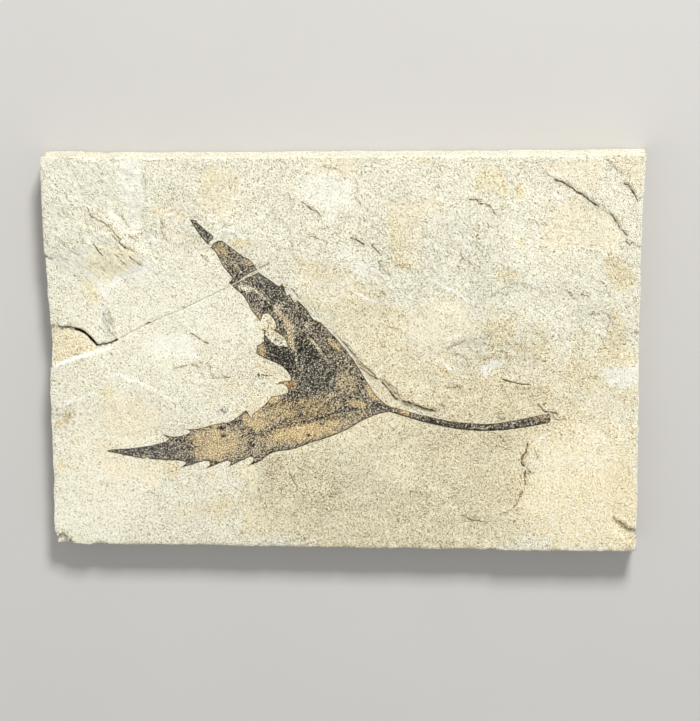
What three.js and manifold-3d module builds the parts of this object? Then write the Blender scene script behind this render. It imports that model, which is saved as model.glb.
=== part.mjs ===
import * as THREE from "three";
import { mergeVertices } from "three/addons/utils/BufferGeometryUtils.js";
import Module from "manifold-3d";

// A plate of pale laminated limestone, sawn along one edge and broken along the others, with a
// two-lobed toothed leaf and its long stalk pressed on the split face. Millimetres. The plate lies
// on its back with the leaf up: +X runs along it, from the lobes towards the stalk's end, and +Y
// across it, towards the sawn edge. The origin is the middle of the back.

// Driving dimensions
const plateLength = 230.4;
const plateWidth = 158;
const beddingHeight = 12; // from the back to the bedding plane that carries the leaf
const upperLaminaHeight = 0.75; // of the lamina left along the upper lobe, above the bedding plane
const roughLaminaHeight = 1; // of the thicker laminae left in the upper left corner
const ledgeHeight = 0.5; // of each further step in the upper right corner
const smoothLaminaHeight = 0.6; // of the smooth lamina left in the lower right corner
const thinLaminaHeight = 0.3; // of the stained scrap below the lower lobe's side
const chipDepth = 1.4; // of the wedge split out of the left edge, at its deepest
const cornerChipDepth = 2;
const sideChipDepth = 0.5;
const creviceDepth = 0.6;
const crackWidth = 0.5;
const crackDepth = 0.4;
const filmThickness = 0.4;
const ribHeight = 0.25; // of the midribs, above the film
const ribWidth = 1.1; // of a midrib where it leaves the stalk
const stalkCrown = 0.4; // of the stalk's rounded back, above the film

const halfLength = plateLength / 2;
const halfWidth = plateWidth / 2;
const clearOfPlate = 4; // how far a lamina's outline runs past the plate before it is trimmed to it
const laminaBury = 1; // how far a lamina reaches down into the stone that it is one with
const aboveAll = beddingHeight + 4;

// The plate's four edges, from the upper left corner and clockwise seen from above, as
// [place along the edge, how far it stands in from the bounding rectangle].
const sawnEdge = [[-114.4, 1.5], [-50, 1.2], [30, 0.8], [115.2, 0]];
const rightEdge = [[72, 0.6], [55, 1.3], [35, 1.5], [0, 1.2], [-40, 0.9], [-78.6, 1.1]];
const lowerEdge = [[80, 0], [40, 0.1], [2, 0.3], [-38, 0.4], [-65, 1], [-93, 0.9], [-114, 1.4]];
const leftEdge = [
  [-72, 0.4], [-45, 0.7], [-16, 0.6], [-6, 1.2], [3, 1.7], [14, 1.7], [35, 0.9], [58, 0.5],
  [73.5, 0],
];

// The slab's side breaks back a little at each lamina: [height, how far it stands in].
const sideLaminae = [
  [0, 0.5], [1.6, 0.1], [2.4, 0.5], [4.2, 0], [5.1, 0.6], [6.9, 0.15], [8.8, 0.7], [9.6, 0.2],
  [11.2, 0.5], [beddingHeight, 0],
];
const sawnShare = 0.15; // of that unevenness, along the sawn edge
const sideStep = 6; // spacing of the points along the plate's sides

// Higher laminae, as the foot of their broken edges. They run off the plate where they reach its edge.
const pastX = halfLength + clearOfPlate;
const pastY = halfWidth + clearOfPlate;

const upperLamina = [
  // down past the rough corner, and under the upper lobe's point
  [-75, pastY], [-75.4, 61], [-76.2, 57.5], [-75.6, 50], [-70.8, 46.2], [-67, 44.3], [-60, 44],
  [-54.6, 43.8], [-52, 42.2], [-51.1, 42.6], [-50.3, 44.8],
  // along the upper lobe, just clear of its margin
  [-48.9, 46.1], [-45.4, 46.1], [-43.2, 44.2], [-38.6, 41], [-34.6, 38.9], [-31.6, 35.4], [-31, 33.4],
  [-27, 30.5], [-22.9, 29.6], [-21, 26.6], [-19.5, 25], [-16.5, 22.9], [-13.2, 19.4], [-10.3, 15.2],
  [-8, 14.2], [-3.3, 9.3], [1.6, 3.4], [5.6, -2.6],
  // the tongue that points at the stalk
  [10.4, -6.8], [13, -9.2], [15.6, -9.9], [18.3, -12.8], [20.4, -15.2], [22, -18], [24.2, -19.6],
  [30, -21.2], [36.7, -22.8], [39.4, -16.9], [41.3, -11.7], [40.1, 2.3],
  // across to the right edge in broken bays
  [44.4, 5.5], [47.8, 6.4], [52.9, 4.4], [58.6, 10.4], [56.6, 23.4], [60.4, 25.8], [65, 28.5],
  [68, 29], [72, 28.2], [77.6, 25.1], [83.3, 26.3], [89.1, 23.1], [91.8, 17.6], [94.9, 16.5],
  [101.4, 17.7], [103.4, 13.7], [103.6, 8.6], [pastX, 10.6], [pastX, pastY],
];

const roughLamina = [
  [-pastX, pastY], [-pastX, 42], [-109, 36.6], [-101.3, 33.5], [-93.5, 34.3], [-85.8, 33.6],
  [-76.1, 34.4], [-74.8, 39.5], [-77.7, 45.4], [-82.3, 48.5], [-79.4, 55.2], [-77.3, 61],
  [-74.6, 73], [-74, pastY],
];

const cornerLedge = [
  [71, pastY], [71.6, 77], [77.1, 72.1], [79.8, 69.8], [84.7, 67.5], [90.4, 63.6], [95, 60.5],
  [98.8, 58.6], [100.8, 55.9], [104.6, 52.8], [107.3, 48.6], [110.8, 43.5], [pastX, 40],
  [pastX, pastY],
];

const cornerTop = [
  [100, pastY], [100.6, 77], [103.1, 74.4], [106.1, 70.9], [105.8, 67.5], [109.2, 66.3],
  [112, 62.1], [pastX, 61], [pastX, pastY],
];

const smoothLamina = [
  [pastX, -27], [103, -28.6], [87.9, -29.5], [84, -28], [80.2, -30.3], [76.3, -33.6],
  [71.3, -36.5], [69, -41.8], [70.6, -45.8], [71.1, -54], [68.8, -58.1], [61, -63.5],
  [59.1, -70.5], [61.1, -pastY], [pastX, -pastY],
];

const thinLamina = [
  [-95, -8.8], [-87.1, -8.3], [-81.3, -10.3], [-74.7, -13.5], [-69.7, -17.1], [-65.9, -19.1],
  [-68.1, -25.5], [-72.5, -29.4], [-82, -32], [-94, -33], [-95.5, -27], [-96.1, -18.5],
];

// Scars below the bedding plane
const wedgeChip = [
  [-pastX, 12.4], [-111.9, 11.2], [-106, 10.8], [-102.2, 9.7], [-98.4, 6.5], [-95.7, 3.7],
  [-90.6, 4.5], [-87.4, 6.1], [-90.7, 3.3], [-95.8, 1.8], [-100.5, 0], [-108.5, -3.2],
  [-pastX, -8],
];
const cornerChip = [
  [-pastX, -71], [-114.2, -73.3], [-111.1, -74.1], [-108, -76.6], [-107, -pastY], [-pastX, -pastY],
];
const sideChip = [
  [105, -64], [108.7, -68.1], [113.4, -70.1], [pastX, -71], [pastX, -76], [110, -74.2],
  [105.6, -69.3],
];
const crevice = [[61.2, -9.2], [64.5, -10.3], [68.4, -11.2], [72.4, -11.5]];
const crack = [
  [-88.5, 5.6], [-75, 12.6], [-61, 18.7], [-48.1, 25.1], [-42.2, 28], [-35.4, 31.6], [-31, 34.2],
];
const crackOnLamina = [[-31.6, 33.8], [-24, 39.2], [-17.3, 43.2]];

// The leaf's margins: each inner list is one smooth stretch, with a sharp turn where two meet.
const bladeMargin = [
  // the long side of the upper lobe, with its three small teeth, from the crack to the stalk
  [[-32.3, 32.8], [-27.9, 29.8], [-24.5, 27.4], [-23.2, 28.3]],
  [[-23.2, 28.3], [-22.2, 26.3], [-21.4, 23.4], [-20.4, 24.2]],
  [[-20.4, 24.2], [-19.2, 21.9], [-18, 20.8], [-17.3, 21.8]],
  [
    [-17.3, 21.8], [-14.2, 18.6], [-11.1, 14.2], [-8.8, 13.3], [-4.2, 8.5], [0.7, 2.7], [4.6, -2.8],
    [8.8, -9.8], [12.6, -15.8], [16.9, -19.8], [21.9, -21.5], [29.7, -23.6], [41.3, -26.2],
    [49.1, -27], [56.9, -27.2], [66.6, -25.7], [79.7, -22.8],
  ],
  // the broken end of the stalk
  [[79.7, -22.8], [80.3, -24], [80, -26.5]],
  // the stalk's lower side and the lower lobe's toothed side
  [
    [80, -26.5], [70.5, -28.5], [58.8, -29.9], [46, -29.4], [33.6, -27.1], [23.1, -24.2],
    [16.5, -22.8], [7.9, -25.8], [1.6, -29.7], [-6.2, -33.1], [-13.3, -35.4], [-20.8, -38.2],
    [-27.9, -39.4], [-33, -42.9], [-38.4, -45.1],
  ],
  [[-38.4, -45.1], [-36.2, -43.6], [-35.5, -42], [-36.3, -41], [-40.9, -43.1], [-46.6, -45.9]],
  [[-46.6, -45.9], [-45, -44.7], [-44.5, -43.5], [-46.2, -42.8], [-50.8, -44.8], [-54.9, -46.3]],
  [[-54.9, -46.3], [-52.9, -45], [-52.3, -43.8], [-54.3, -42.9], [-60.6, -44.8], [-64.2, -45.8]],
  [[-64.2, -45.8], [-62.5, -44.5], [-62.1, -43.5], [-66.5, -42.9], [-75.5, -42.5], [-77.3, -41.6]],
  // the lower lobe's point
  [[-77.3, -41.6], [-78.7, -42.2], [-85.4, -41], [-93.5, -39.3]],
  // the lower lobe's inner side
  [
    [-93.5, -39.3], [-92, -38.7], [-83.3, -38], [-74.6, -36.6], [-69, -34.7], [-69.3, -33.4],
    [-71.2, -32.3],
  ],
  [[-71.2, -32.3], [-66, -33.2], [-60.3, -31.7], [-60.4, -30.6], [-62.8, -29.8]],
  [[-62.8, -29.8], [-58.3, -30.1], [-50, -27.9], [-44.1, -26.8], [-38.1, -22.2]],
  // the torn bay where the middle lobe is gone
  [[-38.1, -22.2], [-36, -25.6]],
  [[-36, -25.6], [-35.2, -23.6], [-31.1, -20.3], [-27.9, -16.7]],
  [[-27.9, -16.7], [-22.4, -15.4], [-21.4, -14.3], [-23, -11.8], [-25.5, -11.5]],
  [[-25.5, -11.5], [-25.2, -10.8], [-20.6, -10.2]],
  [[-20.6, -10.2], [-20.6, -8.2], [-24.2, -4.2], [-29.6, -1.7], [-33.7, 0.6]],
  [[-33.7, 0.6], [-33.2, 3.9], [-31.1, 5], [-30.5, 8.6]],
  // the bite out of the upper lobe
  [[-30.5, 8.6], [-27.2, 4.7], [-24.3, 3.6], [-21.3, 3.4]],
  [[-21.3, 3.4], [-23.2, 7.6], [-26.9, 9.8]],
  [[-26.9, 9.8], [-25.8, 12.2], [-28.1, 16.1], [-30.6, 16.4], [-31.9, 13.4]],
  // the upper lobe's inner side, up to the crack
  [[-31.9, 13.4], [-35.3, 17.9], [-38.1, 23.2], [-42.8, 27.4]],
  [[-42.8, 27.4], [-38, 30], [-32.3, 32.8]],
];
const lobeEndMargin = [
  [
    [-50.4, 42.3], [-49.5, 44.1], [-47.7, 45.1], [-45.7, 45], [-42.3, 42.3], [-37.4, 38.7],
    [-35.3, 37.6], [-32.9, 34.2],
  ],
  [[-32.9, 34.2], [-38.3, 31.2], [-42.4, 28.3]],
  [[-42.4, 28.3], [-44, 28.8], [-42.5, 30.6], [-45.9, 35.1], [-48.5, 40.4], [-50.4, 42.3]],
];
const lobeTipMargin = [
  [[-58.3, 53.7], [-56.8, 53.5], [-52.9, 50.1], [-49.3, 47]],
  [[-49.3, 47], [-50, 45.5], [-50.9, 45], [-51.3, 43.6]],
  [[-51.3, 43.6], [-54.5, 47.4], [-58.3, 53.7]],
];
const marginStep = 1.6; // spacing of the points along a smooth stretch

const upperRib = [
  [-33, 25.2], [-27.1, 19.5], [-20.9, 13.8], [-13.5, 7.7], [-5.1, -3.7], [2.1, -13.3],
  [10.5, -20.2],
];
const lowerRib = [
  [-82.2, -39.6], [-68.3, -38.3], [-54.5, -36.5], [-32, -30.5], [-15.9, -26.9], [0.5, -22.8],
  [12, -21],
];
const lobeEndRib = [[-47.6, 43], [-43, 37.6], [-38.6, 32.4]];
const stalkLine = [
  [11, -20.6], [20, -22.3], [31.5, -25.3], [43.5, -27.8], [55, -28.6], [68, -27.1], [79.2, -24.7],
];
const stalkHalfWidths = [0.4, 0.8, 1.1, 1.2, 1.2, 1.3, 1.4];

const wasm = await Module();
wasm.setup();

// A repeatable scatter between -1 and 1, for broken edges.
function scatter(index) {
  const raw = Math.sin(index * 127.1 + 11.7) * 43758.5453;
  return 2 * (raw - Math.floor(raw)) - 1;
}

function solidFrom(geometry) {
  geometry.deleteAttribute("normal");
  geometry.deleteAttribute("uv");
  const merged = mergeVertices(geometry, 1e-4);
  const mesh = new wasm.Mesh({
    numProp: 3,
    vertProperties: Float32Array.from(merged.attributes.position.array),
    triVerts: Uint32Array.from(merged.index.array),
  });
  return new wasm.Manifold(mesh);
}

function meshFrom(solid, name, material) {
  const data = solid.getMesh();
  const geometry = new THREE.BufferGeometry();
  geometry.setAttribute("position", new THREE.BufferAttribute(data.vertProperties, 3));
  geometry.setIndex(new THREE.BufferAttribute(data.triVerts, 1));
  geometry.computeVertexNormals();
  const mesh = new THREE.Mesh(geometry, material);
  mesh.name = name;
  return mesh;
}

function counterClockwise(points) {
  const flat = points.map(([x, y]) => new THREE.Vector2(x, y));
  return THREE.ShapeUtils.area(flat) > 0 ? points : [...points].reverse();
}

// Closes a list of rings, lowest first, each a counterclockwise list of [x, y, z], into one solid.
function stack(rings) {
  const count = rings[0].length;
  const positions = rings.flat(2);
  const index = [];
  for (let level = 0; level < rings.length - 1; level += 1) {
    for (let i = 0; i < count; i += 1) {
      const a = level * count + i;
      const b = level * count + ((i + 1) % count);
      index.push(a, b, b + count, a, b + count, a + count);
    }
  }
  const flat = (ring) => ring.map(([x, y]) => new THREE.Vector2(x, y));
  const capOf = (ring) => THREE.ShapeUtils.triangulateShape(flat(ring), []);
  const top = (rings.length - 1) * count;
  for (const [a, b, c] of capOf(rings[0])) index.push(a, c, b);
  for (const [a, b, c] of capOf(rings.at(-1))) index.push(top + a, top + b, top + c);
  const geometry = new THREE.BufferGeometry();
  geometry.setAttribute("position", new THREE.Float32BufferAttribute(positions, 3));
  geometry.setIndex(index);
  return solidFrom(geometry);
}

// The unit direction into a counterclockwise outline at each of its points.
function inwardOf(points) {
  return points.map((_, i) => {
    const before = points.at(i - 1);
    const after = points[(i + 1) % points.length];
    const along = new THREE.Vector2(after[0] - before[0], after[1] - before[1]).normalize();
    return [-along.y, along.x];
  });
}

// Divides a closed outline into short straights and scatters their ends sideways, as a break does.
function ragged(points, step, amount) {
  const outline = [];
  points.forEach((from, i) => {
    const to = points[(i + 1) % points.length];
    const across = [to[1] - from[1], from[0] - to[0]];
    const length = Math.hypot(...across);
    const parts = Math.max(1, Math.round(length / step));
    for (let k = 0; k < parts; k += 1) {
      const t = k / parts;
      const shift = k === 0 ? 0 : (amount * scatter(outline.length)) / length;
      outline.push([
        from[0] + (to[0] - from[0]) * t + across[0] * shift,
        from[1] + (to[1] - from[1]) * t + across[1] * shift,
      ]);
    }
  });
  return outline;
}

const ringAt = (points, z) => points.map(([x, y]) => [x, y, z]);

function plateOutline() {
  const corners = [
    ...sawnEdge.map(([x, inset]) => [x, halfWidth - inset]),
    ...rightEdge.map(([y, inset]) => [halfLength - inset, y]),
    ...lowerEdge.map(([x, inset]) => [x, -halfWidth + inset]),
    ...leftEdge.map(([y, inset]) => [-halfLength + inset, y]),
  ];
  const clamp = THREE.MathUtils.clamp;
  const edge = ragged(corners, sideStep, 0.25).map(([x, y]) => [
    clamp(x, -halfLength, halfLength),
    clamp(y, -halfWidth, halfWidth),
  ]);
  return counterClockwise(edge);
}

// The slab up to its bedding plane, with sides that step in and out at each lamina.
function bareSlab(outline) {
  const inward = inwardOf(outline);
  const rings = sideLaminae.map(([z, inset], level) =>
    outline.map(([x, y], i) => {
      const sawn = y > halfWidth - 3 && Math.abs(x) < halfLength - 3;
      const depth = inset * (sawn ? sawnShare : 1 + 0.6 * scatter(level * 31 + i));
      return [x + inward[i][0] * depth, y + inward[i][1] * depth, z];
    }),
  );
  return stack(rings);
}

// A lamina left standing: a ragged foot, and an edge that slopes back as it rises to the lamina's top.
function lamina(points, height, raggedStep = 2.6, raggedness = 0.25) {
  const foot = counterClockwise(ragged(points, raggedStep, raggedness));
  const inward = inwardOf(foot);
  const slope = height * 0.55;
  const top = foot.map(([x, y], i) => [x + inward[i][0] * slope, y + inward[i][1] * slope]);
  return stack([
    ringAt(foot, beddingHeight - laminaBury),
    ringAt(foot, beddingHeight),
    ringAt(top, beddingHeight + height),
  ]);
}

// A scar with a floor that slopes between two depths as it goes along Y.
function scar(points, depthAtLowY, depthAtHighY) {
  const outline = counterClockwise(points);
  const ys = outline.map(([, y]) => y);
  const low = Math.min(...ys);
  const high = Math.max(...ys);
  const floor = outline.map(([x, y]) => {
    const share = (y - low) / (high - low);
    return [x, y, beddingHeight - depthAtLowY - (depthAtHighY - depthAtLowY) * share];
  });
  return stack([floor, ringAt(outline, aboveAll)]);
}

// A bar of triangular section along a line: a ridge where its crest is above its base, a groove's
// cutter where the crest is below it.
function ridge(points, halfWidths, baseZ, crestZ) {
  const sides = crestZ > baseZ ? [1, -1] : [-1, 1];
  const positions = points.flatMap(([x, y], i) => {
    const before = points[Math.max(i - 1, 0)];
    const after = points[Math.min(i + 1, points.length - 1)];
    const along = new THREE.Vector2(after[0] - before[0], after[1] - before[1]).normalize();
    const [left, right] = sides.map((side) => {
      const reach = side * halfWidths[i];
      return [x - along.y * reach, y + along.x * reach, baseZ];
    });
    return [left, right, [x, y, crestZ]];
  });
  const index = [];
  for (let i = 0; i < points.length - 1; i += 1) {
    for (let side = 0; side < 3; side += 1) {
      const a = 3 * i + side;
      const b = 3 * i + ((side + 1) % 3);
      index.push(a, b + 3, b, a, a + 3, b + 3);
    }
  }
  const last = 3 * (points.length - 1);
  index.push(0, 1, 2, last, last + 2, last + 1);
  const geometry = new THREE.BufferGeometry();
  geometry.setAttribute("position", new THREE.Float32BufferAttribute(positions.flat(), 3));
  geometry.setIndex(index);
  return solidFrom(geometry);
}

// Points along a smooth open line through the given ones.
function smoothLine(points, step) {
  const curve = new THREE.SplineCurve(points.map(([x, y]) => new THREE.Vector2(x, y)));
  const parts = Math.max(1, Math.round(curve.getLength() / step));
  return curve.getSpacedPoints(parts).map((p) => [p.x, p.y]);
}

// A sheet of the leaf's carbon film with upright margins.
function film(margin, baseZ) {
  const outline = margin.flatMap((stretch) => smoothLine(stretch, marginStep).slice(0, -1));
  const shape = new THREE.Shape(counterClockwise(outline).map(([x, y]) => new THREE.Vector2(x, y)));
  const geometry = new THREE.ExtrudeGeometry(shape, { depth: filmThickness, bevelEnabled: false });
  geometry.translate(0, 0, baseZ);
  return solidFrom(geometry);
}

// A midrib that widens towards the stalk, half sunk in the film.
function rib(points, thinEnd, thickEnd) {
  const line = smoothLine(points, 5);
  const widths = line.map((_, i) => THREE.MathUtils.lerp(thinEnd, thickEnd, i / (line.length - 1)) / 2);
  return ridge(line, widths, beddingHeight + filmThickness / 2, beddingHeight + filmThickness + ribHeight);
}

function makeSlab() {
  const outline = plateOutline();
  const trim = stack([ringAt(outline, 0), ringAt(outline, aboveAll)]);
  const upperTop = beddingHeight + upperLaminaHeight;
  const laminae = lamina(upperLamina, upperLaminaHeight)
    .add(lamina(roughLamina, roughLaminaHeight))
    .add(lamina(cornerLedge, upperLaminaHeight + ledgeHeight))
    .add(lamina(cornerTop, upperLaminaHeight + 2 * ledgeHeight))
    .add(lamina(smoothLamina, smoothLaminaHeight))
    .add(lamina(thinLamina, thinLaminaHeight))
    .intersect(trim);
  const crackHalf = crackWidth / 2;
  const lift = 0.2; // of a groove's cutter above the face that it cuts
  const groove = (points, halfWidth, faceZ, depth) =>
    ridge(points, points.map(() => halfWidth * (1 + lift / depth)), faceZ + lift, faceZ - depth);
  return bareSlab(outline)
    .add(laminae)
    .subtract(scar(wedgeChip, chipDepth * 0.5, chipDepth))
    .subtract(scar(cornerChip, cornerChipDepth, cornerChipDepth * 0.7))
    .subtract(scar(sideChip, sideChipDepth, sideChipDepth + smoothLaminaHeight))
    .subtract(groove(crevice, 0.45, beddingHeight, creviceDepth))
    .subtract(groove(crack, crackHalf, beddingHeight, crackDepth))
    .subtract(groove(crackOnLamina, crackHalf * 0.7, upperTop, crackDepth * 0.7));
}

function makeBlade() {
  const crownZ = beddingHeight + filmThickness + stalkCrown;
  const stalk = ridge(stalkLine, stalkHalfWidths, beddingHeight + filmThickness / 2, crownZ);
  return film(bladeMargin, beddingHeight)
    .add(rib(upperRib, ribWidth * 0.5, ribWidth))
    .add(rib(lowerRib, ribWidth * 0.4, ribWidth))
    .add(stalk);
}

const stone = new THREE.MeshStandardMaterial({ color: 0xe6dcc2, roughness: 0.92, metalness: 0 });
const darkFilm = new THREE.MeshStandardMaterial({ color: 0x4a4240, roughness: 0.7, metalness: 0 });
const paleFilm = new THREE.MeshStandardMaterial({ color: 0x6b5544, roughness: 0.75, metalness: 0 });
const tipFilm = new THREE.MeshStandardMaterial({ color: 0x3f3c3e, roughness: 0.7, metalness: 0 });

const plate = new THREE.Group();
plate.add(meshFrom(makeSlab(), "slab", stone));
plate.add(meshFrom(makeBlade(), "leaf_blade", paleFilm));
plate.add(
  meshFrom(
    film(lobeEndMargin, beddingHeight).add(rib(lobeEndRib, ribWidth * 0.3, ribWidth * 0.5)),
    "leaf_lobe_end",
    darkFilm,
  ),
);
plate.add(meshFrom(film(lobeTipMargin, beddingHeight + upperLaminaHeight), "leaf_lobe_tip", tipFilm));

export default plate;
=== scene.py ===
import math

import bmesh
import bpy
import numpy as np
from mathutils import Matrix, Vector
from mathutils.bvhtree import BVHTree
from mathutils.geometry import delaunay_2d_cdt


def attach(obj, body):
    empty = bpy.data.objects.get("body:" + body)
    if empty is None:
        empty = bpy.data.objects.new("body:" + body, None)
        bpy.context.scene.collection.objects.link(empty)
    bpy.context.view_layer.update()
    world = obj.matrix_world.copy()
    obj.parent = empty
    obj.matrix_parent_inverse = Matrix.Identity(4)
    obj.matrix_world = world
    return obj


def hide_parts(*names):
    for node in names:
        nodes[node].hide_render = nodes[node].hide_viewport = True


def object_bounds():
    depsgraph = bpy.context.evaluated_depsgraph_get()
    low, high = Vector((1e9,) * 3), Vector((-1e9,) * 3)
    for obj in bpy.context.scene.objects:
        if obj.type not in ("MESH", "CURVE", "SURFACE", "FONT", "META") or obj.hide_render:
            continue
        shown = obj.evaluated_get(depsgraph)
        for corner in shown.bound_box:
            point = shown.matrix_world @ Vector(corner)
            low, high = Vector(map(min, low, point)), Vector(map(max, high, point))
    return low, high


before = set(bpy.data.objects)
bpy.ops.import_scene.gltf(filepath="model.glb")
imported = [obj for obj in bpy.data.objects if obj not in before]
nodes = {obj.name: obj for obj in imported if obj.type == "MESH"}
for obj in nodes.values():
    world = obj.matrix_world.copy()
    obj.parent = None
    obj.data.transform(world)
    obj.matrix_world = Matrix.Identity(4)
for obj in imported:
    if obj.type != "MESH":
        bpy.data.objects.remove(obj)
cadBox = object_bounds()
mm = 0.001  # everything below is worked out in millimetres and built in metres
bedding = 12  # height of the plane that the plate split on
offPlate = 5  # a height under this was read beside the plate
reachX, reachY = 116, 80  # just past the plate's rim, from its middle
rimX, rimY = 108, 72  # what lies beyond these is near the rim
print("frame loaded:", ", ".join(sorted(nodes)))

# Camera and lights

cameraSetup = {
    "place": (54.1, 251.2, 978.4),
    "target": (2.63, -2.04, 12),
    "roll": -0.491,
    "lens": 129.05,
}
lightSetup = {
    "keyFrom": (0.32, 1.3, 0.98),  # metres from the middle of the plate
    "keySize": 0.34,
    "keyPower": 33,
    "fillFrom": (-0.9, -0.7, 1.3),
    "fillSize": 1.4,
    "fillPower": 3.5,
    "lampColour": (1, 0.99, 0.975),
    "skyColour": (1.0, 0.995, 0.985),
    "skyStrength": 0.5,
    "floorTones": ((0.5, 0.49, 0.475), (0.52, 0.51, 0.495)),
    "floorHalf": 2.2,
}


def placeCamera():
    place, target = (Vector(cameraSetup[key]) * mm for key in ("place", "target"))
    back = (place - target).normalized()
    right = Vector((0, 1, 0)).cross(back).normalized()
    up = back.cross(right)
    c = math.cos(math.radians(cameraSetup["roll"]))
    s = math.sin(math.radians(cameraSetup["roll"]))
    axes = Matrix((c * right + s * up, c * up - s * right, back)).transposed()
    camera = bpy.data.objects.new("camera", bpy.data.cameras.new("camera"))
    bpy.context.collection.objects.link(camera)
    camera.matrix_world = Matrix.Translation(place) @ axes.to_4x4()
    camera.data.lens = cameraSetup["lens"]
    camera.data.clip_start, camera.data.clip_end = 0.01, 20
    bpy.context.scene.camera = camera


def areaLight(name):
    place = Vector(lightSetup[name + "From"])
    light = bpy.data.lights.new(name, "AREA")
    light.size, light.energy = lightSetup[name + "Size"], lightSetup[name + "Power"]
    light.color = lightSetup["lampColour"]
    lamp = bpy.data.objects.new(name, light)
    lamp.location = place
    lamp.rotation_euler = (-place).to_track_quat("-Z", "Y").to_euler()
    bpy.context.collection.objects.link(lamp)


placeCamera()
areaLight("key")
areaLight("fill")
world = bpy.data.worlds.new("studio")
bpy.context.scene.world = world
world.use_nodes = True
sky = world.node_tree.nodes["Background"]
sky.inputs["Color"].default_value = (*lightSetup["skyColour"], 1)
sky.inputs["Strength"].default_value = lightSetup["skyStrength"]
bpy.context.scene.view_settings.view_transform = "Standard"
print("camera and lights placed")

# Working tools: noise, lines and painted areas, all on arrays of x and y


def smoothStep(low, high, value):
    t = np.clip((value - low) / (high - low), 0, 1)
    return t * t * (3 - 2 * t)


def gradientNoise(x, y, size, seed):
    # about -1 to 1, with swells about `size` across
    angles = np.random.default_rng(seed).uniform(0, 2 * math.pi, (256, 256))
    u, v = x / size, y / size
    i, j = np.floor(u).astype(int), np.floor(v).astype(int)
    fu, fv = u - i, v - j

    def corner(di, dj):
        angle = angles[(i + di) % 256, (j + dj) % 256]
        return np.cos(angle) * (fu - di) + np.sin(angle) * (fv - dj)

    su = fu**3 * (fu * (fu * 6 - 15) + 10)
    sv = fv**3 * (fv * (fv * 6 - 15) + 10)
    low = corner(0, 0) + su * (corner(1, 0) - corner(0, 0))
    high = corner(0, 1) + su * (corner(1, 1) - corner(0, 1))
    return 1.5 * (low + sv * (high - low))


def fractal(x, y, size, layers, seed, keep=0.5):
    total, reach = 0, 0
    for layer in range(layers):
        share = keep**layer
        total = total + share * gradientNoise(x, y, size / 2**layer, seed + layer)
        reach += share
    return total / reach * 1.3


def paint(x, y, start, ovals, wander, swell, soft, seed):
    # soft-edged ovals laid over one another: (x, y, half length, half width, turn, value)
    value = np.full(len(x), float(start))
    drift = wander * fractal(x, y, swell, 3, seed)
    for cx, cy, halfLong, halfWide, turn, target in ovals:
        c, s = math.cos(math.radians(turn)), math.sin(math.radians(turn))
        dx, dy = x - cx, y - cy
        reach = np.hypot((c * dx + s * dy) / halfLong, (c * dy - s * dx) / halfWide)
        weight = smoothStep(1 + soft, 1 - soft, reach + drift)
        value += weight * (target - value)
    return value


def smoothLine(points, step):
    # a Catmull-Rom line through the points, with its ends kept
    p = np.array(points, float)
    p = np.vstack([2 * p[0] - p[1], p, 2 * p[-1] - p[-2]])
    line = []
    for i in range(1, len(p) - 2):
        parts = max(1, round(math.dist(p[i], p[i + 1]) / step))
        for t in np.arange(parts) / parts:
            a = 2 * p[i]
            b = (p[i + 1] - p[i - 1]) * t
            c = (2 * p[i - 1] - 5 * p[i] + 4 * p[i + 1] - p[i + 2]) * t * t
            d = (3 * p[i] - p[i - 1] - 3 * p[i + 1] + p[i + 2]) * t**3
            line.append((a + b + c + d) / 2)
    line.append(p[-2])
    return np.array(line)


def stepLengths(line):
    return np.linalg.norm(np.diff(line, axis=0), axis=1)


def acrossLine(line):
    # unit vectors to the left of an open line, at each of its points
    along = np.gradient(line, axis=0)
    along /= np.maximum(np.linalg.norm(along, axis=1), 1e-9)[:, None]
    return np.column_stack([-along[:, 1], along[:, 0]])


def rough(line, amount, size, seed):
    # the same line with its points pushed sideways, as broken stone runs
    travel = np.concatenate([[0], np.cumsum(stepLengths(line))])
    push = amount * fractal(travel, travel * 0 + 0.5, size, 3, seed)
    return line + acrossLine(line) * push[:, None]


def nearBox(x, y, line, reach):
    # the numbers of the points within reach of the box round a line
    low, high = line.min(0) - reach, line.max(0) + reach
    return np.flatnonzero((x > low[0]) & (x < high[0]) & (y > low[1]) & (y < high[1]))


def lineField(x, y, line, reach):
    # for the points within reach of a line: their numbers, how far to its left they are, and how
    # far along it, from 0 to 1
    near = nearBox(x, y, line, reach)
    if not len(near):
        return near, np.zeros(0), np.zeros(0)
    best = np.full(len(near), 1e9)
    side = np.ones(len(near))
    along = np.zeros(len(near))
    lengths = stepLengths(line)
    starts = np.concatenate([[0], np.cumsum(lengths)])
    for k, (a, b) in enumerate(zip(line[:-1], line[1:])):
        dx, dy = x[near] - a[0], y[near] - a[1]
        ex, ey = b - a
        t = np.clip((dx * ex + dy * ey) / max(lengths[k] ** 2, 1e-9), 0, 1)
        away = np.hypot(dx - t * ex, dy - t * ey)
        closer = away < best
        best[closer] = away[closer]
        side[closer] = np.where(ex * dy - ey * dx > 0, 1, -1)[closer]
        along[closer] = ((starts[k] + t * lengths[k]) / starts[-1])[closer]
    keep = best < reach
    return near[keep], (best * side)[keep], along[keep]


def insideRing(x, y, ring):
    # which points are inside a closed ring, and how far each is from it
    inside = np.zeros(len(x), bool)
    away = np.full(len(x), 1e9)
    for a, b in zip(ring, np.roll(ring, -1, 0)):
        ex, ey = b - a
        crosses = (a[1] > y) != (b[1] > y)
        with np.errstate(divide="ignore", invalid="ignore"):
            inside ^= crosses & (x < a[0] + (y - a[1]) * ex / ey)
        t = np.clip(((x - a[0]) * ex + (y - a[1]) * ey) / max(ex * ex + ey * ey, 1e-12), 0, 1)
        away = np.minimum(away, np.hypot(x - a[0] - t * ex, y - a[1] - t * ey))
    return inside, away


def wellInside(x, y, ring, gap):
    # which points are inside a closed ring and more than gap from it
    inside, away = insideRing(x, y, ring)
    return inside & (away > gap)


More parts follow.
